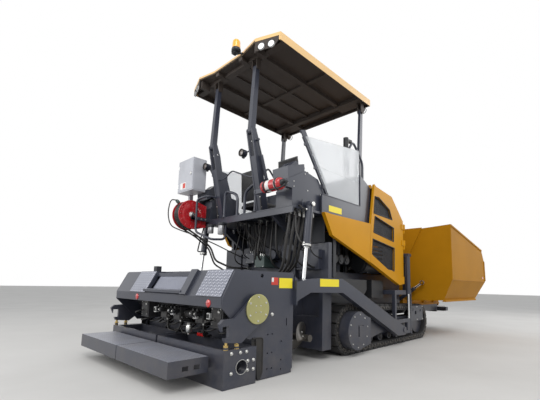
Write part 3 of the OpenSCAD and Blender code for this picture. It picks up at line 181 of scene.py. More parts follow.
DUST = (0.30, 0.25, 0.19)


def finish_node(name, colour, rough, metal=0.0, coat=0.0, dust=0.25, wear=0.3, bare=(0.30, 0.30, 0.31),
                bump=0.12, spread=0.10, round_edge=0.004, spec=0.5):
    """A painted or metal surface: cloudy tone, orange peel, rubbed edges, dust low down and on top."""
    s = Shader(name)
    cloud = s.noise(1.7, 5.0)
    fine = s.noise(60.0, 3.0)
    dark = tuple(c * (1 - spread) for c in colour)
    light = tuple(min(c * (1 + spread), 1.0) for c in colour)
    tone = s.mix(s.ramp(cloud, 0.35, 0.65), dark, light)
    geometry = s.add("ShaderNodeNewGeometry")
    soft = s.add("ShaderNodeBevel", {"Radius": round_edge}, samples=4)
    normals = {0: soft, 1: geometry.outputs["Normal"]}
    turn = s.add("ShaderNodeVectorMath", normals, operation="DOT_PRODUCT")
    edge = s.ramp(turn.outputs["Value"], 0.985, 0.80)
    rub = s.math("MULTIPLY", s.math("MULTIPLY", edge, s.ramp(s.noise(14.0, 6.0), 0.46, 0.66)), wear)
    tone = s.mix(rub, tone, bare)
    split = s.add("ShaderNodeSeparateXYZ", {0: s.place()})
    low = s.ramp(split.outputs[2], 0.95, 0.0)
    up = s.ramp(s.add("ShaderNodeSeparateXYZ", {0: geometry.outputs["Normal"]}).outputs[2], 0.55, 1.0)
    layer = s.math("ADD", s.math("MULTIPLY", low, 0.75), s.math("MULTIPLY", up, 0.35))
    patch = s.ramp(s.noise(5.0, 8.0, 0.65), 0.38, 0.72)
    amount = s.math("MULTIPLY", s.math("MULTIPLY", layer, patch), dust, clamp=True)
    tone = s.mix(amount, tone, DUST)
    shine = s.math("ADD", s.math("MULTIPLY", fine, 0.10), rough - 0.05)
    matt = s.math("ADD", shine, s.math("MULTIPLY", amount, 0.5), clamp=True)
    s.set(Base_Color=tone, Metallic=metal, Roughness=matt)
    s.set(Coat_Weight=coat, Coat_Roughness=0.12, Specular_IOR_Level=spec)
    s.set(Normal=s.bump(fine, bump, soft))
    return s.mat


def lens_node(name, colour, rough=0.15, glow=0.0):
    s = Shader(name)
    rings = s.add("ShaderNodeTexWave", {"Vector": s.place(), "Scale": 40.0, "Distortion": 0.4})
    s.set(Base_Color=s.mix(rings.outputs[1], colour, tuple(c * 0.85 for c in colour)), Roughness=rough)
    s.set(Coat_Weight=1.0, Coat_Roughness=0.05)
    if glow:
        s.set(Emission_Color=colour, Emission_Strength=glow)
    return s.mat


def rubber_node(name, colour, rough=0.75, dust=0.5):
    s = Shader(name)
    fine = s.noise(140.0, 3.0)
    patch = s.ramp(s.noise(9.0, 8.0, 0.7), 0.35, 0.75)
    tone = s.mix(s.math("MULTIPLY", patch, dust), colour, DUST)
    soft = s.add("ShaderNodeBevel", {"Radius": 0.004}, samples=4)
    s.set(Base_Color=tone, Roughness=s.math("ADD", s.math("MULTIPLY", patch, 0.15), rough))
    s.set(Normal=s.bump(fine, 0.35, soft))
    return s.mat


def sheet_plastic():
    s = Shader("milky_screen")
    streak = s.noise(3.0, 6.0, 0.7)
    s.set(Base_Color=(0.86, 0.88, 0.90), Roughness=s.math("ADD", s.math("MULTIPLY", streak, 0.3), 0.18))
    s.set(Transmission_Weight=0.55, IOR=1.2, Alpha=0.72)
    return s.mat


M = {
    "charcoal": finish_node("charcoal_paint", (0.034, 0.038, 0.056), 0.40, coat=0.25, dust=0.22, wear=0.30),
    "black": finish_node("black_paint", (0.016, 0.017, 0.02), 0.45, dust=0.35, wear=0.3),
    "dark": finish_node("shadow_metal", (0.022, 0.024, 0.030), 0.55, dust=0.45, wear=0.25),
    "amber": finish_node("amber_paint", (0.62, 0.285, 0.006), 0.46, coat=0.06, dust=0.05, wear=0.08,
                         spread=0.04,
                         bare=(0.46, 0.26, 0.03), bump=0.08, spec=0.12),
    # The hopper is the amber paint in a darker copy: painted shade on its floor and wings
    "hopper": finish_node("hopper_amber_painted_shade", (0.44, 0.195, 0.005), 0.52, coat=0.03, dust=0.08, wear=0.2,
                          spread=0.06,
                          bare=(0.30, 0.20, 0.08), bump=0.10, spec=0.10),
    # Pale cream in place of the roof's amber paint: a painted highlight of the brightly lit roof
    "roof": finish_node("roof_paint", (0.86, 0.56, 0.24), 0.38, coat=0.3, dust=0.05, wear=0.1, spread=0.03,
                        bare=(0.7, 0.5, 0.3)),
    "grey": finish_node("grey_paint", (0.48, 0.49, 0.53), 0.35, coat=0.3, dust=0.06, wear=0.2),
    "red": finish_node("red_paint", (0.50, 0.012, 0.018), 0.28, coat=0.6, dust=0.08, wear=0.25),
    "steel": finish_node("worn_steel", (0.36, 0.36, 0.37), 0.38, metal=1.0, dust=0.3, wear=0.4, bare=(0.6,
                         0.6, 0.6)),
    "zinc": finish_node("zinc_plate", (0.46, 0.44, 0.20), 0.33, metal=0.75, dust=0.05, wear=0.15,
                        spread=0.16),
    "bolt": finish_node("bolt_zinc", (0.62, 0.62, 0.60), 0.28, metal=0.9, dust=0.1, wear=0.1,
                        round_edge=0.001),
    "chrome": finish_node("chrome_rod", (0.78, 0.79, 0.80), 0.12, metal=1.0, dust=0.03, wear=0.0, bump=0.02),
    "brass": finish_node("brass_fitting", (0.58, 0.42, 0.16), 0.33, metal=1.0, dust=0.05, wear=0.1),
    "green": finish_node("valve_green", (0.055, 0.085, 0.078), 0.5, coat=0.3, dust=0.1, wear=0.1),
    "label": finish_node("yellow_label", (0.90, 0.74, 0.02), 0.40, dust=0.03, wear=0.0, spread=0.02),
    "label_red": finish_node("red_label", (0.60, 0.05, 0.03), 0.4, dust=0.03, wear=0.0),
    "label_white": finish_node("white_label", (0.80, 0.80, 0.78), 0.4, dust=0.03, wear=0.0),
    "liner": finish_node("roof_liner", (0.045, 0.034, 0.028), 0.6, dust=0.0, wear=0.1),
    "mesh": finish_node("mesh_paint", (0.030, 0.031, 0.036), 0.5, dust=0.1, wear=0.1),
    "seal": rubber_node("door_seal", (0.012, 0.012, 0.013), 0.6, 0.1),
    "track": rubber_node("track_rubber", (0.013, 0.014, 0.017), 0.72, 0.10),
    "hose": rubber_node("hose_rubber", (0.012, 0.012, 0.013), 0.42, 0.08),
    "vinyl": rubber_node("seat_vinyl", (0.014, 0.014, 0.016), 0.5, 0.05),
    "screen": sheet_plastic(),
    "lamp_white": lens_node("lamp_white", (0.93, 0.93, 0.93), glow=0.25),
    "lamp_red": lens_node("lamp_red", (0.60, 0.02, 0.02)),
    "lamp_orange": lens_node("lamp_orange", (0.50, 0.10, 0.04)),
    "beacon": lens_node("beacon_lens", (0.95, 0.42, 0.02), glow=0.25),
    "checker": finish_node("checker_paint", (0.21, 0.22, 0.27), 0.32, metal=0.25, dust=0.25, wear=0.3),
    "checker_bar": finish_node("checker_worn", (0.42, 0.43, 0.48), 0.30, metal=0.5, dust=0.2, wear=0.3),
    "flight": finish_node("auger_steel", (0.10, 0.095, 0.09), 0.40, metal=0.85, dust=0.35, wear=0.6),
    "dull": finish_node("dull_grey", (0.13, 0.135, 0.15), 0.5, dust=0.3, wear=0.2),
    "filter": finish_node("filter_can", (0.30, 0.30, 0.31), 0.35, metal=0.5, dust=0.2, wear=0.2),
    "tinted": lens_node("lamp_tinted", (0.13, 0.10, 0.085)),
    "gauge": finish_node("gauge_face", (0.75, 0.76, 0.74), 0.3, dust=0.0, wear=0.0),
}
# The nodes of each look; all others are charcoal
LOOK_NODES = {
    "black": "engine_block exhaust side_tanks",
    "track": "track_right track_left",
    "amber": "hood_top hood_rear_panels hood_door_right hood_door_left",
    "vinyl": "seat_right seat_left",
    "grey": "cabinet",
    "red": "hose_reel extinguisher",
    "screen": "windscreens",
    # The roof takes the pale cream look, a painted highlight on its amber paint
    "roof": "canopy_roof",
    "liner": "canopy_frame",
    "lamp_white": "roof_lamps",
    "lamp_orange": "beacon",
    "mesh": "grilles_right grilles_left",
    "steel": "conveyor auger_right auger_left push_roller_right push_roller_left",
    # The hopper's floor and wings take the darker amber, painted shade
    "hopper": "hopper_floor hopper_wing_right hopper_wing_left",
    "chrome": "wing_rod_right wing_rod_left lift_rods",
    "dark": "screed_gear",
    "hose": "hoses",
}
NODE_LOOK = {name: look for look, names in LOOK_NODES.items() for name in names.split()}
# The record's slot for each look, which done() looks up where it names none but gives to no piece
SLOT_LOOKS = {
    "black_paint": "mesh black green liner",
    "hose_rubber": "hose",
    "steel": "bolt checker_bar zinc brass flight filter",
    "charcoal_paint": "charcoal checker dark",
    "seat_vinyl": "vinyl",
    "lamp_plastic": "beacon",
    "lens_plastic": "tinted gauge",
    "track_rubber": "seal",
    "red_paint": "lamp_red red",
    "grey_paint": "label_white grey dull",
    "chrome": "chrome",
    "amber_paint": "hopper",
}
SLOTS = {look: slot for slot, looks in SLOT_LOOKS.items() for look in looks.split()}


def paint_frame():
    for name, obj in nodes.items():
        mat = M[NODE_LOOK.get(name, "charcoal")]
        for slot in obj.material_slots:
            slot.material = mat


# Shapes
class Form:
    """One joined mesh made of several shapes, given in the drawing's frame in millimetres."""

    def __init__(self):
        self.verts, self.faces, self.smooth = [], [], []

    def add(self, verts, faces, smooth=False):
        base = len(self.verts)
        self.verts += [tuple(v) for v in verts]
        self.faces += [tuple(base + i for i in f) for f in faces]
        self.smooth += [smooth] * len(faces)
        return self

    def both(self):
        """Adds the mirror image of all that is here so far, across the centre plane."""
        n = len(self.verts)
        self.verts += [(x, -y, z) for x, y, z in self.verts]
        self.faces += [tuple(n + i for i in reversed(f)) for f in self.faces]
        self.smooth += self.smooth
        return self

    def box(self, low, high, bevel=0.0, turn=None, about=None):
        bm = bmesh.new()
        bmesh.ops.create_cube(bm, size=1)
        mid = (Vector(low) + Vector(high)) / 2
        span = Vector(high) - Vector(low)
        for v in bm.verts:
            v.co = Vector((v.co.x * span.x, v.co.y * span.y, v.co.z * span.z))
        if bevel:
            width = min(bevel, min(span) * 0.45)
            bmesh.ops.bevel(bm, geom=bm.edges[:], offset=width, segments=1, profile=0.6, affect="EDGES")
        spin = turn or Matrix.Identity(3)
        pivot = Vector(about) if about else mid
        bm.verts.index_update()
        verts = [spin @ (v.co + mid - pivot) + pivot for v in bm.verts]
        self.add(verts, [[v.index for v in f.verts] for f in bm.faces])
        bm.free()
        return self

    def prism(self, points, y0, y1, axis="y"):
        """An outline of x and z points between two values of y, or of x and y points between two of z."""
        n = len(points)
        verts = [(p[0], k, p[1]) if axis == "y" else (p[0], p[1], k) for k in (y0, y1) for p in points]
        faces = [list(range(n)), list(range(2 * n - 1, n - 1, -1))]
        faces += [[i, (i + 1) % n, n + (i + 1) % n, n + i] for i in range(n)]
        return self.add(verts, faces)

    def turned(self, profile, base, axis, sides=32, smooth=True):
        """A shape turned round an axis from base: profile holds (radius, distance along the axis)."""
        axis = Vector(axis).normalized()
        side = axis.orthogonal().normalized()
        other = axis.cross(side)
        base = Vector(base)
        verts, faces = [], []
        for r, h in profile:
            for k in range(sides):
                a = 2 * pi * k / sides
                verts.append(base + axis * h + (side * cos(a) + other * sin(a)) * r)
        for i in range(len(profile) - 1):
            for k in range(sides):
                m = (k + 1) % sides
                faces.append([i * sides + k, i * sides + m, (i + 1) * sides + m, (i + 1) * sides + k])
        self.add(verts, faces, smooth)
        last = (len(profile) - 1) * sides
        self.add([verts[k] for k in range(sides)], [list(range(sides - 1, -1, -1))])
        return self.add([verts[last + k] for k in range(sides)], [list(range(sides))])

    def ring(self, profile, base, axis, sides=36):
        """A turned shape open in the middle: the profile closes on itself."""
        self.turned(profile + profile[:1], base, axis, sides, False)
        del self.faces[-2:], self.smooth[-2:]
        return self

    def rod(self, p, q, r, sides=20, smooth=True):
        p, q = Vector(p), Vector(q)
        return self.turned([(r, 0), (r, (q - p).length)], p, q - p, sides, smooth)

    def tube(self, points, r, sides=12, corner=50, steps=5, closed=False):
        path = rounded(points, corner, steps, closed)
        n = len(path)
        rings, verts, faces = [], [], []
        last = None
        for i, p in enumerate(path):
            before = path[(i - 1) % n] if closed or i else path[0]
            after = path[(i + 1) % n] if closed or i < n - 1 else path[-1]
            d = (after - before).normalized()
            if last is None:
                last = d.orthogonal().normalized()
            last = (last - d * last.dot(d)).normalized()
            rings.append((p, last.copy(), d.cross(last)))
        for p, a, b in rings:
            verts += [p + (a * cos(2 * pi * k / sides) + b * sin(2 * pi * k / sides)) * r
                      for k in range(sides)]
        for i in range(n if closed else n - 1):
            j = (i + 1) % n
            faces += [[i * sides + k, i * sides + (k + 1) % sides, j * sides + (k + 1) % sides, j * sides + k]
                      for k in range(sides)]
        self.add(verts, faces, True)
        if not closed:
            self.add(verts[:sides], [list(range(sides - 1, -1, -1))])
            self.add(verts[-sides:], [list(range(sides))])
        return self

    def bolt(self, p, axis, size=12, washer=True):
        """A hexagon head on a washer, standing on the point p."""
        axis = Vector(axis).normalized()
        h = 0.0
        if washer:
            self.turned([(size * 1.25, 0), (size * 1.25, size * 0.2)], p, axis, 12, False)
            h = size * 0.2
        head = [(size, h), (size, h + size * 0.65), (size * 0.86, h + size * 0.8)]
        return self.turned(head, p, axis, 6, False)

    def bolt_circle(self, x, y, z, r, count, start, axis, size):
        """Bolts spaced evenly on an upright circle, from the angle start."""
        for k in range(count):
            a = start + 2 * pi * k / count
            self.bolt((x + r * cos(a), y, z + r * sin(a)), axis, size)

    def done(self, name, look, body="chassis", slot=None, replaces=()):
        mesh = bpy.data.meshes.new(name)
        mesh.from_pydata([(x / 1000 + MID, y / 1000, z / 1000) for x, y, z in self.verts], [], self.faces)
        for poly, smooth in zip(mesh.polygons, self.smooth):
            poly.use_smooth = smooth
        mesh.materials.append(M[look])
        bm = bmesh.new()
        bm.from_mesh(mesh)
        bmesh.ops.recalc_face_normals(bm, faces=bm.faces)
        bm.to_mesh(mesh)
        bm.free()
        obj = bpy.data.objects.new(name, mesh)
        bpy.context.scene.collection.objects.link(obj)
        slot = slot or SLOTS[look]
        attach(obj, body)
        if replaces:
            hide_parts(*replaces)
        return obj


def rounded(points, corner, steps, closed=False):
    """The path with its corners replaced by short curves."""
    points = [Vector(p) for p in points]
    n = len(points)
    if n < 3:
        return points
    out = [] if closed else [points[0]]
    for i in (range(n) if closed else range(1, n - 1)):
        p, a, b = points[i], points[i - 1], points[(i + 1) % n]
        a = p + (a - p).normalized() * min(corner, (a - p).length * 0.45)
        b = p + (b - p).normalized() * min(corner, (b - p).length * 0.45)
        for k in range(steps + 1):
            t = k / steps
            out.append(a * (1 - t) ** 2 + p * 2 * t * (1 - t) + b * t * t)
    return out if closed else out + [points[-1]]


def make_stage():
    bm = bmesh.new()
    bmesh.ops.create_grid(bm, x_segments=1, y_segments=1, size=60)
    mesh = bpy.data.meshes.new("floor")
    bm.to_mesh(mesh)
    bm.free()
    floor = bpy.data.objects.new("floor", mesh)
    bpy.context.scene.collection.objects.link(floor)
    floor.location = (0, 0, -0.001)
    s = Shader("pale_floor")
    cloud = s.ramp(s.noise(0.8, 6.0), 0.3, 0.7)
    s.set(Base_Color=s.mix(cloud, (0.60, 0.585, 0.56), (0.66, 0.645, 0.62)), Roughness=0.85)
    mesh.materials.append(s.mat)
    world = bpy.data.worlds.new("studio")
    bpy.context.scene.world = world
    world.use_nodes = True
    t = Nodes(world.node_tree)
    light = t.add("ShaderNodeBackground", {0: (0.93, 0.96, 1.0, 1), 1: 0.62})
    seen = t.add("ShaderNodeBackground", {0: (1, 1, 1, 1), 1: 1.0})
    ray = t.add("ShaderNodeLightPath").outputs
    direct = t.math("MAXIMUM", ray["Is Camera Ray"], ray["Is Transmission Ray"])
    share = t.math("MAXIMUM", direct, ray["Is Glossy Ray"])
    mix = t.add("ShaderNodeMixShader", {0: share, 1: light, 2: seen})
    t.add("ShaderNodeOutputWorld", {0: mix})
    make_light("key", (-6.5, -6.0, 7.5), (0, 0, 1.2), (5, 5), 420)
    make_light("fill", (-9.0, 3.0, 4.0), (-1.5, 0, 1.2), (5, 4), 190)
    make_light("front", (8.0, -5.0, 6.0), (1.5, 0, 1.0), (5, 5), 240)


# Pieces, with their places in millimetres as in the drawing
def sides(make):
    """Calls make for the right side, where y is negative, and for the left."""
    for side, sign in (("right", -1), ("left", 1)):
        make(side, sign)


def hood_mesh(side, sign):
    """Woven wire in the door's windows, over the pierced sheets."""
    f = Form()
    for w in WINDOWS:
        xs, zs = [p[0] for p in w], [p[1] for p in w]
        step = 15
        lines = []
        for k in range(1, int((max(zs) - min(zs)) / step)):
            z = min(zs) + k * step
            lines.append([(x, z) for x in crossings([(q[1], q[0]) for q in w], z)])
        for k in range(1, int((max(xs) - min(xs)) / step)):
            x = min(xs) + k * step
            lines.append([(x, z) for z in crossings(w, x)])
        for ends in lines:
            if len(ends) == 2:
                (x0, z0), (x1, z1) = ends
                f.rod((x0, sign * (HOOD_Y - 22), z0), (x1, sign * (HOOD_Y - 22), z1), 1.6, 4, False)
    f.done(f"door_mesh_{side}", "mesh", f"hood_door_{side}")


def crossings(outline, x):
    """Where the outline of x and z points crosses an upright line."""
    out = []
    for (x0, z0), (x1, z1) in zip(outline, outline[1:] + outline[:1]):
        if (x0 - x) * (x1 - x) < 0:
            out.append(z0 + (z1 - z0) * (x - x0) / (x1 - x0))
    return sorted(out)


# Outer faces of the tracks, tow arms and hood, and the windows of the hood's doors
TRACK_OUT, ARM_Y, HOOD_Y = 1100, 1250, 1110
WINDOWS = [[[-222, 2308], [-260, 2038], [338, 2020], [250, 2175], [-95, 2312]],
           [[-225, 1994], [-269, 1737], [380, 1660], [388, 1887]],
           [[-291, 1631], [-315, 1374], [160, 1183], [387, 1172], [400, 1550]]]
# The deck's slope, as x and z of its lower and upper edge
DECK_LOW, DECK_HIGH = Vector((-3062, 789)), Vector((-2928, 1045))
SLOPE = (DECK_HIGH - DECK_LOW).normalized()
SLOPE_OUT = Vector((-SLOPE.y, SLOPE.x))
# Centre of the final drive, as x and z
DRIVE = (-905, 330)


def on_slope(y, t, out=0.0):
    """A point on the deck's slope: t along it from its lower edge, out from its face."""
    p = DECK_LOW + SLOPE * t + SLOPE_OUT * out
    return (p.x, y, p.y)


def smooth_hoses():
    """The hydraulic hoses along their routes, with ferrules at their ends."""
    bundle = []
    for i in range(4):
        x, z = -1660 - 95 * i, 1130 - 25 * i
        y, end = -900 - 12 * i, -470 + 90 * i
        bundle.append(([(x, y, FLOOR_UNDER + 0.7), (x, y, 1720), (x - 30, y + 10, 1500),
                        (x + 10, -800 - 10 * i, z + 60), (x + 60, -600 - 10 * i, z - 60), (-1560, end, 1060),
                        (CASE_REAR, end, 1060)], 17, 110))
    reel_pair = [([(-2290, 800, 1693), (-2150, 760, 1610), (-1960, 690, 1450), (-1930, 600, 1250),
                   (-1760, 440, 1150), (-1600, 400, 1150), (CASE_REAR, 400, 1150)], 14, 60),
                 ([(-2330, 860, 1693), (-2140, 830, 1600), (-1950, 760, 1440), (-1890, 680, 1200),
                   (-1760, 520, 1080), (-1600, 490, 1080), (CASE_REAR, 490, 1080)], 12, 60)]
    f = Form()
    ends = Form()
    for points, r, corner in bundle + reel_pair:
        f.tube(points, r, 16, corner, 7)
        tip = Vector(points[-1])
        collar, nut = tip - Vector((55, 0, 0)), tip - Vector((75, 0, 0))
        ends.rod(collar, tip, r + 5, 16)
        ends.rod(nut, collar, r + 3, 6, False)
        if points[0][2] > 1800:
            ends.rod(points[0], Vector(points[0]) - Vector((0, 0, 60)), r + 5, 16)
    hoses = f.done("smooth_hoses", "hose", replaces=["hoses"])
    ends.done("hose_ferrules", "bolt")
    return hoses


def smooth_rails():
    """Round handrails on the drawn paths, with feet on the floor."""
    f = Form()
    for s in (-1, 1):
        f.tube([(-1960, s * 80, FLOOR_TOP), (-1960, s * 80, 2170), (-1990, s * 340, 2260),
                (-1990, s * 340, FLOOR_TOP)], 20, 18, 90)
        grip = [(-780, FLOOR_TOP), (-760, 2900), (-600, 3120), (-330, 2850), (-330, 2483)]
        f.tube([(x, s * 955, z) for x, z in grip], 18, 18, 90, 8)
        for p in ((-1960, 80), (-1990, 340), (-780, 955)):
            f.turned([(42, 0), (42, 8), (26, 12)], (p[0], s * p[1], FLOOR_TOP), UP, 24)
            for k in range(3):
                a = 2.1 * k
                f.bolt((p[0] + 33 * cos(a), s * p[1] + 33 * sin(a), 1868), UP, 5, False)
    f.tube([(-2075, 371.7, 2405), (-2075, 250, 2405), (-2075, 90, 2490), (-2065, -312, 2320),
            (-2065, -371.7, 2320)], 10, 14, 50)
    f.tube([(-1990, 300, 1769.7), (-1990, 300, 1540), (-2200, 330, 1520), (-2255, 655, 1650),
            (-2255, 655, 2130), (-2200, 478, 2165), (-2057, 478, 2165)], 16, 16, 60)
    f.done("round_rails", "charcoal", replaces=["handrails"])


def cushion(name, body, low, high, crown, lean=0.0, channels=3, sunk=5.0):
    """A crowned pad with rounded sides that pull in between its corners and sewn channels across its top."""
    low, high = Vector(low), Vector(high)
    mid, half = (low + high) / 2, (high - low) / 2
    n = 28
    verts, faces = [], []
    for i in range(n + 1):
        for j in range(n + 1):
            u, v = i / n * 2 - 1, j / n * 2 - 1
            x, y = u * half.x, v * half.y
            pull = 1 - 0.035 * (1 - u * u) * abs(v) ** 6 - 0.035 * (1 - v * v) * abs(u) ** 6
            round_off = (1 - abs(u) ** 8) * (1 - abs(v) ** 8)
            top = half.z * (2 * round_off ** 0.5 - 1) * (1 - crown)
            top += half.z * crown * (1 - u * u) * (1 - v * v)
            for c in range(channels):
                line = (c + 1) / (channels + 1) * 2 - 1
                top -= sunk * exp(-((u - line) * half.x / 7) ** 2) * (1 - abs(v) ** 6)
            top -= sunk * exp(-((abs(v) - 0.72) * half.y / 7) ** 2) * (1 - abs(u) ** 6)
            verts.append((mid.x + x * pull, mid.y + y * pull, mid.z + top))
    k = n + 1
    for i in range(n):
        for j in range(n):
            faces.append([i * k + j, (i + 1) * k + j, (i + 1) * k + j + 1, i * k + j + 1])
    rim = [i * k for i in range(k)] + [n * k + j for j in range(1, k)]
    rim += [i * k + n for i in range(n - 1, -1, -1)] + [j for j in range(n - 1, 0, -1)]
    base = len(verts)
    verts += [(verts[r][0], verts[r][1], low.z) for r in rim]
    m = len(rim)
    faces += [[rim[i], base + i, base + (i + 1) % m, rim[(i + 1) % m]] for i in range(m)]
    faces.append([base + i for i in range(m)][::-1])
    f = Form().add(verts, faces, True)
    # Piping sewn round the upper edge
    path = [Vector(verts[r]) for r in rim[::2]]
    f.tube([p + Vector(UP) for p in path], 3.2, 6, 1, 1, True)
    if lean:
        turn = Matrix.Rotation(lean, 3, "Y")
        f.verts = [tuple(turn @ (Vector(v) - mid) + mid) for v in f.verts]
    return f.done(name, "vinyl", body)


def seats(side, s):
    """A sprung operator's seat: pedestal with bellows, shell, two pads and arm rests."""
    x, y, z = -1220, s * 430, FLOOR_TOP
    body = f"seat_{side}"
    f = Form()
    bellows = [(40 + 9 * (k % 2), 24 + 16 * k) for k in range(13)]
    f.turned([(58, 0), (58, 12), (40, 20)] + bellows + [(34, 262)], (x, y, z), UP, 32)
    f.box((x - 236, y - 205, z + 262), (x + 224, y + 205, z + 292), 8)
    rest = [(x - 246, z + 366), (x - 226, z + 366), (x - 262, z + 846), (x - 272, z + 846)]
    f.prism(rest, y - 190, y + 190)
    for t in (-1, 1):
        f.box((x - 190, y + t * 208 - 7, z + 300), (x - 160, y + t * 208 + 7, z + 560), 3)
        f.rod((x - 150, y + t * 205, z + 275), (x + 60, y + t * 205, z + 275), 9, 12)
    shell = f.done(f"seat_shell_{side}", "black", body)
    arms = Form()
    for t in (-1, 1):
        arms.box((x - 195, y + t * 196 - 18, z + 560), (x + 40, y + t * 196 + 18, z + 592), 13)
    arms.done(f"seat_arms_{side}", "vinyl", body)
    pad = cushion(f"seat_pad_{side}", body, (x - 225, y - 205, z + 292), (x + 226, y + 205, z + 368), 0.25)
    back = cushion(f"seat_back_{side}", body, (x - 445, y - 188, z + 580), (x - 5, y + 188, z + 650), 0.25,
                   radians(86))
    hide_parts(body)
    return shell


def beacon_and_lamps():
    """The turning light on its arm, and rims and bowls for the lamps under the roof."""
    f = Form()
    x, y, z = -2430, -370, 3935
    arm = [(-2290.3, 3954), (-2290.3, 3986), (x + 20, z - 30), (x - 40, z - 30), (x - 30, z - 62)]
    f.prism(arm, y + 44, y + 52)
    f.box((x - 30, y - 20, z - 60), (x + 30, y + 60, z - 40), 3)
    f.turned([(40, -46), (61, -40), (61, -14), (56, -4), (56, 2)], (x, y, z), UP, 40)
    f.bolt((-2300, y + 42, 3965), RIGHT, 8)
    f.done("beacon_base", "black", "canopy", replaces=["beacon"])
    dome = Form()
    profile = [(54, 2)]
    for k in range(9):
        profile += [(54 - 0.4 * k, 8 + 9 * k), (51.5 - 0.4 * k, 12 + 9 * k)]
    profile += [(50, 92), (46, 106), (36, 119), (20, 127), (4, 130)]
    dome.turned(profile, (x, y, z), UP, 48)
    dome.done("beacon_dome", "beacon", "canopy")
    rims, bowls, lights = Form(), Form(), Form()
    a = atan2(338, 120)
    along = Vector((cos(a), sin(a), 0))
    inward = Vector((sin(a), -cos(a), 0))
    for t in (95, 235):
        p = Vector((-2345, 640, 3890)) + along * t
        out = -inward
        face = p + out * 8 + Vector((0, 0, -28))
        ring = [(50, -2), (50, 4), (46, 6), (43, 2), (43, -2)]
        rims.ring(ring, face, out)
    rims.both()
    for s in (-1, 1):
        rims.ring([(46, 0), (48, 6), (44, 9), (40, 6), (40, 0)], (-111, s * 852, 3855), AHEAD)
        lamp = (-2160, s * 430 + 205, 2650)
        lights.ring([(52, 0), (52, 14), (47, 18), (44, 14), (44, 0)], lamp, BACK)
        bowls.turned([(45, 0), (43, 5), (30, 9), (6, 12)], lamp, BACK, 36)
        lights.box((lamp[0] + 10, lamp[1] - 12, lamp[2] - 70), (lamp[0] + 50, lamp[1] + 12, lamp[2] - 48), 4)
    rims.done("lamp_rims", "black", "canopy")
    lights.done("work_lamp_rims", "black")
    bowls.done("work_lamp_lenses", "tinted")


def upward(u, v):
    """The upper of the two unit normals of the plane of u and v."""
    n = u.cross(v).normalized()
    return -n if n.z < 0 else n


def checker(f, origin, u_end, v_end, pitch=30.0, lift=1.6):
    """Raised bars in a chequered pattern on the plate from origin to u_end and v_end."""
    o = Vector(origin)
    u, v = Vector(u_end) - o, Vector(v_end) - o
    nu, nv = max(int(u.length / pitch), 1), max(int(v.length / pitch), 1)
    u0, v0 = u.normalized(), v.normalized()
    n = upward(u0, v0)
    for i in range(nu):
        for j in range(nv):
            c = o + u * ((i + 0.5) / nu) + v * ((j + 0.5) / nv)
            sign = 1 if (i + j) % 2 else -1
            d, e = (u0 + v0 * sign) * 9.5, (v0 - u0 * sign) * 3.2
            ridge = [c - d * 0.8 + n * lift, c + d * 0.8 + n * lift]
            f.add([c - d - e, c + d - e, c + d + e, c - d + e] + ridge,
                  [[0, 1, 5, 4], [2, 3, 4, 5], [1, 2, 5], [3, 0, 4]])


def sheet_plate(f, origin, u_end, v_end, t):
    """A thin plate that stands t up from its three given corners."""
    o, a, b = Vector(origin), Vector(u_end), Vector(v_end)
    n = upward(a - o, b - o) * t
    low = [o, a, a + b - o, b]
    verts = low + [p + n for p in low]
    f.add(verts, [[0, 1, 2, 3], [7, 6, 5, 4]] + [[i, (i + 1) % 4, 4 + (i + 1) % 4, 4 + i] for i in range(4)])


def chequered(name, body, spots):
    """Chequered plates on one body, each given by three corners."""
    plates, bars = Form(), Form()
    for o, u, v in spots:
        sheet_plate(plates, o, u, v, 1.0)
        lift = upward(Vector(u) - Vector(o), Vector(v) - Vector(o))
        checker(bars, *(Vector(p) + lift for p in (o, u, v)))
    plates.done(f"{name}_plates", "checker", body)
    bars.done(f"{name}_bars", "checker_bar", body)


def label(name, body, low, high, look="label", slot="lamp_plastic"):
    """A blank plate on a flat wall, with rounded edges."""
    Form().box(low, high, 0.8).done(name, look, body, slot=slot)


def screed_plates():
    chequered("deck", "screed", [(on_slope(y0, 3, 6), on_slope(y1, 3, 6), on_slope(y0, 286, 6))
                                 for y0, y1 in ((-1182, -765), (345, 770))]
              + [((-3080, -498, 835), (-2962, -498, 835), (-3080, 358, 835))])
    back = Form()
    sheet_plate(back, (-3002, -400, 838), (-3002, 260, 838), (-2906, -400, 1000), 4)
    checker(back, (-3005, -392, 841), (-3005, 252, 841), (-2909, -392, 1003), 26)
    back.done("recess_back", "checker", "screed")
    for side, s in (("right", -1), ("left", 1)):
        y0, y1 = sorted((s * 8, s * 1068))
        corners = ((-3466, y0, 270), (-3090, y0, 270), (-3466, y1, 270))
        chequered(f"foot_{side}", f"extension_{side}", [corners])


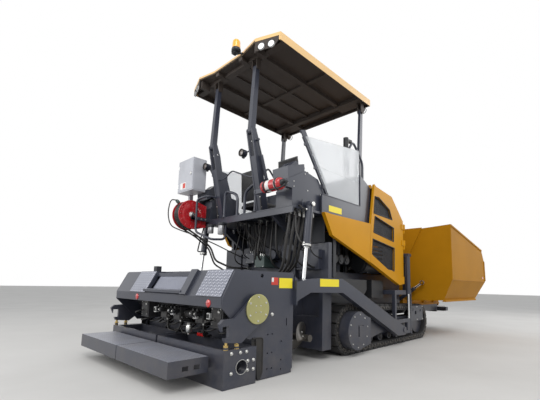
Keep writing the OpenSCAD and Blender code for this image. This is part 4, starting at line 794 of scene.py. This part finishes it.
def screed_side(side, s):
    """Cover disc, bolts, height screws and guard at one end of the screed."""
    ext = f"extension_{side}"
    gx, gz = -2688, 679
    disc = Form().turned([(141, 0), (141.5, 12), (139, 14)], (gx, s * 1250, gz), (0, s, 0), 64, False)
    disc.done(f"cover_disc_{side}", "zinc", ext)
    f = Form()
    f.bolt_circle(gx, s * 1264, gz, 112, 6, pi / 6, (0, s, 0), 8)
    f.bolt_circle(gx, s * 1264, gz, 42, 4, pi / 4, (0, s, 0), 6)
    for x, z in ((-2970, 300), (-2870, 300), (-2800, 300), (-2966, 130), (-2782, 134), (-2782, 216),
                 (-2714, 134), (-2714, 216)):
        f.bolt((x, s * 1245, z), (0, s, 0), 13)
    f.ring([(61, 0), (66, 0), (66, 4), (61, 4)], (-2852, s * 1245, 171), (0, s, 0), 40)
    f.done(f"flange_bolts_{side}", "bolt", ext)
    g = Form()
    for x in (-3020, -2900):
        g.rod((x, s * 1226, 334), (x, s * 1226, 398), 12.6, 20)
        g.turned([(22, 0), (22, 18), (19, 20)], (x, s * 1226, 356), UP, 6, False)
        g.turned([(22, 0), (22, 5)], (x, s * 1226, 334), UP, 24, False)
    g.done(f"height_screws_{side}", "brass", ext)
    h = Form()
    h.prism([(-2698, 378), (-2642, 378), (-2642, 62), (-2669, 12), (-2698, 12)], s * 1191.2, s * 1193.5)
    h.prism([(-2706, 392), (-2640, 400), (-2638, 388), (-2706, 380)], s * 1191, s * 1200)
    flap = [(-2660, 404), (-2572, 398), (-2568, 70), (-2596, 14), (-2618, 10), (-2632, 40)]
    h.prism(flap, s * 1204.2, s * 1206)
    bead = [(-2700, 402), (-2566, 398), (-2564, 70), (-2594, 14)]
    h.tube([(x, s * 1206, z) for x, z in bead], 6, 8, 30)
    h.done(f"end_guard_{side}", "seal", "screed")
    Form().bolt((-2450, s * 1204, 615), (0, s, 0), 15).done(f"end_bolts_{side}", "bolt", "screed")


def screed_marks():
    label("screed_label_yellow", "screed", (-2361, -1206, 877), (-2162, -1204.2, 983))
    label("screed_label_red", "screed", (-2473, -1206, 909), (-2376, -1204.2, 986), "label_red", "red_paint")
    label("screed_label_white", "screed", (-2470, -1207, 940), (-2440, -1205.5, 983), "label_white",
          "grey_paint")
    f = Form()
    for y, z in ((-987, 728), (550, 735)):
        f.turned([(36, 0), (36, 4), (32, 8), (4, 10)], (-3062, y, z), BACK, 32)
    f.done("reflectors", "lamp_red", "screed")


def loose(f, p, q, r, out=DOWN, back=None, slack=0.35, sides=8):
    """A hose that leaves p along out, hangs and comes back into q along back."""
    p, q = Vector(p), Vector(q)
    out = Vector(out).normalized()
    back = Vector(back).normalized() if back else out
    d = (q - p).length * slack
    pts = []
    a, b = p + out * d * 1.4, q + back * d * 1.4
    for k in range(11):
        t = k / 10
        pts.append(p * (1 - t) ** 3 + a * 3 * t * (1 - t) ** 2 + b * 3 * t * t * (1 - t) + q * t ** 3)
    f.tube(pts, r, sides, 5, 1)


def screed_machinery():
    """Coils, fittings, plugs and hoses of the valves under the deck."""
    rng = random.Random(11)
    hose, metal, coil, white, red = Form(), Form(), Form(), Form(), Form()
    for y in (-640, -180, 120):
        for d in (35, 115):
            coil.turned([(25, 0), (26, 4), (26, 50), (25, 54)], (-2950, y + d, 600), AHEAD, 20)
            metal.turned([(11, 0), (11, 12), (8, 14)], (-2960, y + d, 600), BACK, 6, False)
            coil.box((-2940, y + d - 14, 624), (-2905, y + d + 14, 652), 3)
            loose(hose, (-2922, y + d, 652), (-2760, y + d + rng.uniform(-60, 60), 668), 4, UP, (-1, 0, 0.3))
        for k in range(4):
            x = -2860 + 30 * k
            metal.bolt((x, y - 2, 530 + 50 * (k % 2)), RIGHT, 9)
            metal.turned([(12, 0), (12, 16), (8, 20)], (x, y + 20 + 36 * k, 500), DOWN, 6, False)
            z = 352 + rng.uniform(0, 20)
            port = (-2752, y + rng.uniform(-160, 260), z)
            loose(hose, (x, y + 20 + 36 * k, 482), port, 8, DOWN, (-1, 0, 0.1), 0.5)
        coil.box((-2886, y + 12, 512), (-2880, y + 138, 560), 1)
    for y in (-1000, 560):
        metal.turned([(18, 0), (18, 10), (13, 14)], (-2900, y + 60, 640), BACK, 6, False)
        metal.turned([(14, 0), (14, 22)], (-2900, y + 130, 560), BACK, 6, False)
        coil.box((-2906, y + 20, 500), (-2899, y + 180, 680), 2)
        for d, z in ((30, 515), (170, 515), (30, 665), (170, 665)):
            metal.bolt((-2906, y + d, z), BACK, 6)
        loose(hose, (-2922, y + 130, 560), (-2760, y + 280, 480), 10, (-1, 0, -0.2), (-1, 0, 0.2), 0.5)
    for k in range(8):
        y = -1000 + 250 * k
        loose(hose, (-2752, y, 470), (-2752, y + 200, 455), 9, (-1, 0, -0.4), (-1, 0, -0.4), 0.45)
    for r, x, z in ((15, -2815, 705), (11, -2838, 690), (9, -2856, 706)):
        pts = [(x + 9 * sin(k * 1.3 + r), -1040 + 130 * k, z - 9 * abs(sin(k * 0.9))) for k in range(16)]
        hose.tube(pts, r, 10, 60, 4)
    for k in range(30):
        x = -2815 + 9 * sin(k * 0.65 + 15)
        coil.turned([(17, 0), (17, 6)], (x, -1040 + 65 * k, 703), LEFT, 10, False)
    for y, z in ((-534, 577), (-784, 590), (346, 589), (-60, 585)):
        white.box((-2925, y - 30, z - 32), (-2888, y + 30, z + 32), 4)
        coil.box((-2930, y - 20, z - 20), (-2924, y - 3, z + 18), 1)
        coil.box((-2930, y + 5, z - 20), (-2924, y + 21, z + 18), 1)
        coil.box((-2890, y - 10, z - 14), (-2745, y + 10, z + 4), 2)
    coil.box((-2975, -498, 486), (-2860, -456, 496), 2)
    metal.turned([(16, 0), (28, 8), (28, 70), (20, 78), (20, 100)], (-2945, -477, 400), UP, 24)
    metal.turned([(9, 0), (9, 20)], (-2945, -477, 385), UP, 6, False)
    red.box((-2800, -520, 350), (-2790, -400, 384), 4)
    coil.box((-2792, -530, 342), (-2745, -390, 392), 3)
    metal.turned([(30, 0), (30, 12), (24, 16)], (-2850, -420, 570), RIGHT, 24)
    hose.done("screed_hoses", "hose", "screed")
    metal.done("screed_fittings", "bolt", "screed")
    coil.done("screed_coils", "black", "screed")
    white.done("screed_plugs", "label_white", "screed")
    red.done("screed_lamp", "lamp_red", "screed")


def augers(side, s):
    """Cast flights swept round the shaft, bolted on in halves."""
    f = Form()
    ax, az = -1750, 300
    f.rod((ax, s * 80.3, az), (ax, s * 1120, az), 40, 32)
    f.turned([(52, 0), (52, 16), (40, 20)], (ax, s * 80.3, az), (0, s, 0), 32)
    steps, length, pitch = 100, 960, 380
    verts, faces = [], []
    for i in range(steps + 1):
        y = length * i / steps
        a = 2 * pi * y / pitch
        for r, t in ((36, -11), (120, -6), (176, -6), (180, -3), (180, 3), (176, 6), (120, 6), (36, 11)):
            verts.append((ax + r * cos(a), s * (120 + y + t), az + r * sin(a)))
    for i in range(steps):
        a, b = i * 8, (i + 1) * 8
        faces += [[a + k, a + (k + 1) % 8, b + (k + 1) % 8, b + k] for k in range(8)]
    faces += [list(range(8)), list(range(steps * 8 + 7, steps * 8 - 1, -1))]
    f.add(verts, faces, True)
    obj = f.done(f"auger_flights_{side}", "flight", f"auger_{side}", replaces=[f"auger_{side}"])
    b = Form()
    for i in range(16):
        y = 150 + 60 * i
        a = 2 * pi * (y - 120) / pitch
        b.bolt((ax + 62 * cos(a), s * (y + 8), az + 62 * sin(a)), (0, s, 0), 9)
    b.done(f"auger_bolts_{side}", "bolt", f"auger_{side}")
    return obj


def reel():
    """The hose reel: pressed discs, wound hose, hub and bracket."""
    x, y, z = -2270, 840, 1910
    red, metal, hose, arm = Form(), Form(), Form(), Form()
    for s in (-1, 1):
        red.turned([(212, -6), (215, -3), (215, 0), (206, 3), (196, 0), (150, 0), (140, 4), (76, 4), (66, 0)],
                   (x, y + s * 90, z), (0, s, 0), 56)
        for k in range(12):
            a = pi * k / 6
            red.turned([(15, 0), (12, 3), (5, 4)], (x + 173 * cos(a), y + s * 90, z + 173 * sin(a)),
                       (0, s, 0), 12)
    for d in (-80, 80):
        cheek = [(x + 60, z + 212), (x + 240, z + 165), (x + 250, z - 160), (x + 140, z - 185)]
        red.prism(cheek, y + d - 3, y + d + 3)
    red.box((x + 238, y - 83, z - 160), (x + 246, y + 83, z + 164), 1)
    for layer in range(2):
        for k in range(7 - layer):
            c, r = y - 66 + 22 * k + 11 * layer, 172 + 19 * layer
            ring = [(x + r * cos(a), c, z + r * sin(a)) for a in (pi * j / 14 for j in range(28))]
            hose.tube(ring, 11, 8, 1, 1, True)
    arm.rod((x, y - 84, z), (x, y + 84, z), 158, 32)
    metal.turned([(46, 0), (46, 8), (30, 12), (30, 34), (22, 38), (22, 50)], (x, y - 90, z), RIGHT, 28)
    metal.turned([(13, 0), (13, 6)], (x, y - 140, z), RIGHT, 6, False)
    arm.box((x - 40, y - 145, z - 80), (-2000.3, y - 125, z - 30), 3)
    arm.box((x - 40, y - 145, z - 80), (x + 40, y - 125, z - 44), 3)
    arm.prism([(x - 40, z - 46), (x - 28, z + 10), (x - 12, z - 46)], y - 145, y - 139)
    for d in (60, 130, 200):
        metal.bolt((x + d, y - 145, z - 55), RIGHT, 9)
    fitting = [(22, 0), (26, 6), (26, 44), (18, 50), (18, 60)]
    green = Form().turned(fitting, (x - 150, y + 30, z + 165), (-0.8, 0, 0.6), 16)
    green.done("reel_fitting", "green")
    hose.tube([(x - 196, y + 30, z + 200), (x - 290, y + 20, z + 190), (x - 330, y, z - 20),
               (x - 290, y - 20, z - 200), (x - 150, y - 60, z - 250), (x, y - 140, z - 300),
               (-2000, 560, 1500), (-1600, 450, 1330), (CASE_REAR, 450, 1300)], 8, 8, 170, 8)
    obj = red.done("reel_discs", "red", replaces=["hose_reel"])
    metal.done("reel_hub", "bolt")
    hose.done("reel_hose", "hose")
    arm.done("reel_bracket", "charcoal")
    return obj


def extinguisher():
    """Bottle with its head, gauge, hose, straps and shelf."""
    x, z, y0, y1 = -2190, 2075, -1040, -720
    red, black, white, frame = Form(), Form(), Form(), Form()
    red.turned([(34, 0), (62, 3), (71, 14), (72, 30), (72, 282), (67, 302), (50, 316), (34, 320)], (x, y1, z),
               RIGHT, 48)
    white.ring([(72, 236), (73, 236), (73, 272), (72, 272)], (x, y1, z), RIGHT, 48)
    white.ring([(72, 92), (72.8, 92), (72.8, 150), (72, 150)], (x, y1, z), RIGHT, 48)
    black.turned([(45, 318), (45, 346), (30, 352), (24, 358), (24, 384), (18, 390)], (x, y1, z), RIGHT, 28)
    black.box((x - 50, y0 - 80, z - 6), (x + 16, y0 - 36, z + 2), 2)
    black.prism([(x - 50, z + 6), (x - 46, z + 13), (x + 20, z + 13), (x + 20, z + 4)], y0 - 78, y0 - 50)
    white.turned([(16, 0), (16, 7)], (x + 22, y0 - 50, z + 2), AHEAD, 20)
    black.tube([(x - 20, y0 - 60, z - 14), (x - 40, y0 - 66, z - 50), (x - 52, y0 - 10, z - 68),
                (x - 50, y0 + 120, z - 66), (x - 50, y0 + 240, z - 66)], 9, 10, 50, 5)
    for y in (-990, -800):
        black.ring([(72, 0), (77, 0), (77, 24), (72, 24)], (x, y, z), LEFT, 48)
        black.box((x - 86, y + 2, z - 12), (x - 70, y + 22, z + 14), 2)
    frame.box((x + 68, y0 + 20, z - 30), (x + 80, -468.3, z + 30), 2)
    frame.prism([(-2130, 2055), (-2047, 2055), (-2058, 2095), (-2130, 2095)], -488, -468.3)
    obj = red.done("bottle", "red", replaces=["extinguisher"])
    black.done("bottle_head", "black")
    white.done("bottle_bands", "label_white")
    frame.done("bottle_shelf", "charcoal")
    return obj


def stand_fittings():
    """Cabinet door, consoles' controls and the blank labels of the body."""
    door, latch = Form(), Form()
    door.box((-2314, 731, 2296), (-2310, 1124, 2764), 1.5)
    door.box((-2296, 711, 2300), (-2104, 715, 2760), 1.5)
    door.done("cabinet_door", "grey")
    for z in (2380, 2680):
        latch.rod((-2313, 1128, z - 30), (-2313, 1128, z + 30), 6, 12)
    latch.turned([(16, 0), (16, 5), (10, 8)], (-2314, 770, 2540), BACK, 20)
    latch.box((-2326, 764, 2510), (-2318, 776, 2566), 2)
    latch.done("cabinet_latch", "bolt")
    label("cabinet_label", "chassis", (-2315.5, 900, 2322), (-2314.2, 1060, 2425), "label_white",
          "grey_paint")
    label("cabinet_mark", "chassis", (-2316.5, 915, 2335), (-2315.6, 985, 2412), "label_red", "red_paint")
    label("wall_label", "chassis", (-1321, -1052, 1890), (-1029, -1050.3, 1974))
    label("arm_label", "screed", (-1739, -1252.5, 900), (-1365, -1250.3, 990))
    knobs, faces, rims = Form(), Form(), Form()
    n = Vector((-0.555, 0, 0.832))
    for s in (-1, 1):
        y = s * 860
        for k in range(3):
            p = Vector((-1925 + 62 * k, s * 800, 2203 + 41 * k))
            rims.ring([(22, 0), (25, 0), (25, 7), (22, 7)], p, n, 28)
            faces.turned([(22, 0), (22, 3)], p, n, 28)
        for k in range(4):
            for j in range(3):
                p = Vector((-1935 + 45 * k, s * (850 + 32 * j), 2197 + 30 * k))
                knobs.turned([(8, 0), (8, 9), (6, 12)], p, n, 12)
        for d, h in ((-1640, 120), (-1560, 90)):
            p = Vector((d, y, 2300 if d < -1600 else 2280))
            lever = [(20, 0), (24, 6), (13, 22), (6, 28), (6, h), (15, h + 6), (17, h + 26), (9, h + 38)]
            knobs.turned(lever, p, (0.1, 0, 1), 16)
    knobs.done("console_knobs", "black")
    faces.done("dial_faces", "gauge")
    rims.done("dial_rims", "bolt")


def under_floor():
    """Dark linings, valves, filters and the many hoses below the stand."""
    rng = random.Random(5)
    dark, hose, metal, green, light, cans = Form(), Form(), Form(), Form(), Form(), Form()
    dark.prism([(-1494, 1838), (-1326, 1570), (-400, 1278), (-387, 1850)], 1064, 1069.7)
    dark.box((-1243, 1055, 1020), (-1177, 1071, 1562), 2)
    dark.both()
    dark.box((-1398, -1040, 1471), (-1390, 480, FLOOR_UNDER))
    for y in (-860, -300, 120):
        dark.box((-1900, y, 1790), (-1420, y + 50, FLOOR_UNDER), 3)
    for y, z0, z1 in ((290, 1600, 1765), (550, 1640, 1765)):
        cans.turned([(40, 0), (44, 6), (44, z1 - z0 - 40), (36, z1 - z0 - 30)], (-2070, y, z0), UP, 28)
        dark.turned([(52, 0), (52, 30)], (-2070, y, z1 - 32), UP, 24)
        dark.box((-2080, y - 40, z1 - 10), (-1995, y + 40, z1 + 10), 3)
    green.box((-1640, -160, 1150), (-1421, 40, 1320), 5)
    light.box((-1570, 150, 1220), (-1421, 320, 1370), 5)
    for y0, y1, x, z0, z1 in ((-160, 40, -1640, 1150, 1320), (150, 320, -1570, 1220, 1370)):
        for y in (y0 + 16, y1 - 16):
            for z in (z0 + 16, z1 - 16):
                metal.bolt((x, y, z), BACK, 7)
        for k in range(3):
            y = y0 + 45 + 45 * k
            metal.turned([(14, 0), (14, 18), (10, 22), (10, 34)], (x + 60, y, z1), UP, 6, False)
            loose(hose, (x + 60, y, z1 + 30), (-1560 - rng.uniform(0, 250), y + rng.uniform(-260, 200), 1800),
                  9 + 2 * (k % 2), (-0.2, 0, 1), DOWN, 0.4)
    for k in range(16):
        y = -980 + 88 * k + rng.uniform(-25, 25)
        x, r = -1480 - rng.uniform(0, 330), rng.choice((7, 9, 11, 14))
        z = 1080 + rng.uniform(0, 320)
        face = -1421 if abs(y) < 540 else -1371 if z > 1000 else -1481
        port = (face, y + rng.uniform(-170, 170) * (abs(y) < 380), z)
        loose(hose, (x, y, FLOOR_UNDER), port, r, DOWN, (-1, 0, 0.1), 0.45)
        metal.turned([(r + 4, 0), (r + 4, 40), (r + 6, 42), (r + 6, 54)], (x, y, FLOOR_UNDER), DOWN, 8, False)
    dark.done("under_floor_linings", "dark")
    hose.done("under_floor_hoses", "hose")
    metal.done("under_floor_fittings", "bolt")
    cans.done("filter_cans", "filter")
    green.done("valve_box", "green", slot="charcoal_paint")
    light.done("filter_box", "dull")


def engine_dressing(side, s):
    """What shows on the engine when its door is up."""
    f, m, h = Form(), Form(), Form()
    for k in range(6):
        x = -70 + 105 * k
        f.box((x, s * 300 - 60, 1850), (x + 84, s * 300 + 60, 1892), 8)
        m.bolt((x + 42, s * 300, 1892), UP, 9)
        m.rod((x + 42, s * 380, 1700), (x + 42, s * 404, 1700), 16, 12)
        pipe = [(404, 1700), (428, 1700), (420, 1790), (384, 1830)]
        h.tube([(x + 42, s * y, z) for y, z in pipe], 6, 8, 25, 4)
    f.box((-80, s * 380, 1560), (570, s * 402, 1620), 6)
    f.box((-60, s * 380, 1120), (540, s * 396, 1180), 6)
    for k in range(9):
        f.box((-50 + 70 * k, s * 380, 1240), (-42 + 70 * k, s * 392, 1520), 2)
    m.rod((-90, s * 418, 1660), (590, s * 418, 1660), 9, 12)
    for k in range(3):
        m.turned([(52, 0), (52, 120), (40, 130)], (60 + 190 * k, s * 440, 1190), UP, 28)
    f.done(f"engine_ribs_{side}", "dark", slot="black_paint")
    m.done(f"engine_fittings_{side}", "bolt")
    h.done(f"engine_pipes_{side}", "hose")


def track_dressing():
    """Hub bolts, roller caps, tie rods and plate bolts of the running gear."""
    m, caps, rods = Form(), Form(), Form()
    cx, cz = DRIVE
    m.bolt_circle(cx, ARM_Y, cz, 212, 10, 0.2, LEFT, 8)
    for x in (-560, -270, 20, 310, 600, 890):
        caps.turned([(46, 0), (46, 6), (30, 9), (30, 14), (12, 16)], (x, TRACK_OUT - 60, 163.3), LEFT, 28)
    for x, z in ((935, 350), (1410, 350), (1410, 570), (935, 570), (1180, 350), (1180, 570)):
        m.bolt((x, TRACK_OUT + 30, z), LEFT, 10)
    for x in (-420, 160, 740):
        caps.box((x - 60, TRACK_OUT - 52, 300), (x + 60, TRACK_OUT - 44, 400), 3)
        for d in (-45, 45):
            m.bolt((x + d, TRACK_OUT - 44, 350), LEFT, 9)
    for k in range(18):
        a = pi * k / 9
        caps.box((cx + 225 * cos(a) - 14, TRACK_OUT - 72, cz + 5 + 225 * sin(a) - 14),
                 (cx + 225 * cos(a) + 14, TRACK_OUT - 66, cz + 5 + 225 * sin(a) + 14), 2)
    rods.rod((805, 1150, 392), (805, 1150, 798), 21.3, 28)
    rods.both().done("levelling_sleeves", "chrome", "tow_blocks")
    m.both().done("track_bolts", "bolt")
    caps.both().done("roller_caps", "dark")


def stand_bolts():
    """Bolt rows and edge beads on the stand, consoles and beams."""
    m, edge = Form(), Form()
    for x in range(-1440, -560, 145):
        m.bolt((x, 1050, 1850), LEFT, 7)
    for x, z in ((-1955, 2095), (-1955, 2160), (-1440, 2095), (-1700, 2095), (-1750, 2300)):
        m.bolt((x, 1000.3, z), LEFT, 7)
    for z in (1500, 1700, 1800):
        m.bolt((-1370.3, 930, z), BACK, 8)
    edge.box((-1467, 1049, 2092), (-545, 1056, 2104), 2)
    edge.box((-2003, 20, 1846), (-1999, 1025, 1862), 1)
    m.both().done("stand_bolts", "bolt")
    edge.both().done("stand_edges", "charcoal")


def cylinder_fittings():
    """Glands, ports and hoses of the screed's lift cylinders."""
    top, eye = Vector((-1770, 1100, 1890)), Vector((-1860, 1100, 950))
    d = (eye - top).normalized()
    f, h = Form(), Form()
    f.ring([(54, 0), (57, 4), (57, 22), (54, 26)], top + d * 492, d, 28)
    f.ring([(24, 0), (38, 2), (38, 12), (24, 14)], top + d * 525, d, 28)
    side_out = Vector(BACK)
    for t in (70, 480):
        p = top + d * t + side_out * 44
        f.turned([(15, 0), (15, 14), (11, 18), (11, 30)], p, side_out, 6, False)
        h.tube([p + side_out * 26, p + side_out * 70, p + Vector((-80, -60, 130 if t > 100 else 60)),
                Vector((-1840, 1025, FLOOR_UNDER)) + Vector((-60 if t > 100 else 0, -40, 0))], 10, 10, 40, 5)
    f.turned([(30, 0), (30, 6), (24, 9)], (-1770, 1160, 1890), LEFT, 24)
    f.both().done("lift_fittings", "bolt", "lift_barrels")
    h.both().done("lift_hoses", "hose", "lift_barrels")


# The track's loop in the side view: wheel places and radii, and the number of pads
SPROCKET, IDLER, PADS = (-905, 335), (1370, 305), 42


def loop_lengths():
    """Angle at which the upper run leaves the wheels, and the lengths of the loop's four stretches."""
    (sx, sr), (ix, ir) = SPROCKET, IDLER
    run, drop = ix - sx, sr - ir
    top = acos(drop / hypot(run, drop)) - atan2(drop, run)
    return top, [run, (top + pi / 2) * ir, run, (1.5 * pi - top) * sr]


def on_loop(t):
    """Place and outward angle on the track's loop after a length t."""
    (sx, sr), (ix, ir) = SPROCKET, IDLER
    top, lengths = loop_lengths()
    t %= sum(lengths)
    if t < lengths[0]:
        return Vector((sx + t, 0, 0)), -pi / 2
    t -= lengths[0]
    if t < lengths[1]:
        a = -pi / 2 + t / ir
        return Vector((ix + ir * cos(a), 0, ir + ir * sin(a))), a
    t -= lengths[1]
    if t < lengths[2]:
        c, d = cos(top), sin(top)
        return Vector((ix + ir * c - t * d, 0, ir + ir * d + t * c)), top
    a = top + (t - lengths[2]) / sr
    return Vector((sx + sr * cos(a), 0, sr + sr * sin(a))), a


def shoes(side, s):
    """Steel shoe plates under the pads, with the links' pins and bolts at their ends."""
    pitch = sum(loop_lengths()[1]) / PADS
    plate, pins = Form(), Form()
    y0, y1 = sorted((s * (TRACK_OUT - 323), s * (TRACK_OUT + 3)))
    for k in range(PADS):
        p, a = on_loop((k + 0.5) * pitch)
        out = Vector((cos(a), 0, sin(a)))
        along = Vector((-sin(a), 0, cos(a)))
        turn = Matrix.Rotation(atan2(-cos(a), -sin(a)), 3, "Y")
        c = p - out * 41
        plate.box((c.x - pitch * 0.45, y0, c.z - 5), (c.x + pitch * 0.45, y1, c.z + 5), 0, turn)
        for d in (-0.27, 0.27):
            q = p - out * 60 + along * pitch * d
            pins.turned([(17, 0), (17, 7), (11, 10)], (q.x, s * TRACK_OUT, q.z), (0, s, 0), 12, False)
        q = p - out * 22
        pins.turned([(9, 0), (9, 4)], (q.x, s * TRACK_OUT, q.z), (0, s, 0), 6, False)
    plate.done(f"shoe_plates_{side}", "flight")
    pins.done(f"track_pins_{side}", "flight")


def roof_linings():
    """Dark lining inside and under the roof's rims and along its rear edge."""
    f = Form()
    rear, front, wide, low = -2290, -117, 978, 3890
    edge = [(rear, 0), (rear, 330), (rear - 55, 640)]
    outline = edge + [(x - 2, y) for x, y in reversed(edge)]
    f.prism(outline, low + 59, low + 76, "z")
    f.prism([(rear + 4, 0), (rear + 4, 330), (rear - 50, 640), (rear + 68, wide - 22),
             (rear + 130, wide - 22), (rear + 130, 0)], low + 57, low + 59.7, "z")
    f.box((rear + 130, wide - 23, low - 1), (front - 20, wide - 20, low + 84))
    f.box((rear + 80, wide - 22, low - 2), (front - 3, wide - 3, low))
    f.both()
    f.box((front - 23, -wide + 22, low - 1), (front - 20, wide - 22, low + 84))
    f.box((front - 22, -wide + 4, low - 2), (front - 3, wide - 4, low))
    f.done("roof_linings", "liner", "canopy")


def hood_trim(side, s):
    """Latch and black bands round the windows, which widen their dark area."""
    body = f"hood_door_{side}"
    seal, metal = Form(), Form()
    for w in WINDOWS:
        for (ax, az), (bx, bz) in zip(w, w[1:] + w[:1]):
            seal.rod((ax, s * (HOOD_Y - 3), az), (bx, s * (HOOD_Y - 3), bz), 10, 8)
    metal.turned([(20, 0), (20, 3), (15, 5)], (-300, s * HOOD_Y, 1330), (0, s, 0), 24)
    metal.box((-312, s * HOOD_Y + s * 3 - 3, 1322), (-276, s * HOOD_Y + s * 3 + 3, 1338), 2)
    seal.done(f"window_bands_{side}", "seal", body)
    metal.done(f"door_latch_{side}", "bolt", body)


def hopper_dressing(side, s):
    """Lips, welds, lugs and reflectors of one hopper wing."""
    body = f"hopper_wing_{side}"
    amber, red = Form(), Form()
    for z in (1200, 1880):
        amber.box((1530, s * 1240 - 5, z), (1560, s * 1240 + 5, z + 30), 2)
    amber.rod((1512, s * 1652, 1062), (1512, s * 1652, 2055), 6, 8)
    amber.rod((1520, s * 1653, 1060), (3560, s * 1653, 1060), 4, 8)
    red.box((3370, s * 1653.5 - 1.5, 1120), (3450, s * 1653.5 + 1.5, 1165), 1)
    # The seams take the hopper's darker amber, painted shade
    amber.done(f"wing_seams_{side}", "hopper", body)
    red.done(f"wing_reflector_{side}", "lamp_red", body)


def beam_dressing():
    """Wiring with its clips on the slanted beams, and the wide plate on the left one."""
    clips, wire = Form(), Form()
    for s in (-1, 1):
        run = [(-2005, 1862), (-2040, 2150), (-2120, 2500), (-2140, 2600)]
        wire.tube([(x, s * 478, z) for x, z in run], 7, 8, 60)
        for k in range(5):
            t = k / 5
            x, z = -2012 - 108 * t, 1900 + 640 * t
            clips.box((x, s * 478 - 9, z), (x + 16, s * 478 + 9, z + 10), 1)
    outline = [(-2040, 2550), (-1935, 2540), (-1930, 2442), (-1858, 2250), (-1762, 1862), (-1900, 1862)]
    plate = Form().prism(outline, 384, 390)
    plate.done("beam_plate", "charcoal")
    clips.done("wire_clips", "bolt")
    wire.done("beam_wires", "hose")


bpy.context.scene.view_settings.view_transform = "Standard"
make_camera()
make_stage()
paint_frame()
smooth_hoses()
smooth_rails()
sides(hood_mesh)
sides(seats)
beacon_and_lamps()
screed_plates()
sides(screed_side)
screed_marks()
screed_machinery()
sides(augers)
reel()
extinguisher()
stand_fittings()
under_floor()
sides(engine_dressing)
sides(hood_trim)
sides(hopper_dressing)
beam_dressing()
track_dressing()
stand_bolts()
cylinder_fittings()
sides(shoes)
roof_linings()
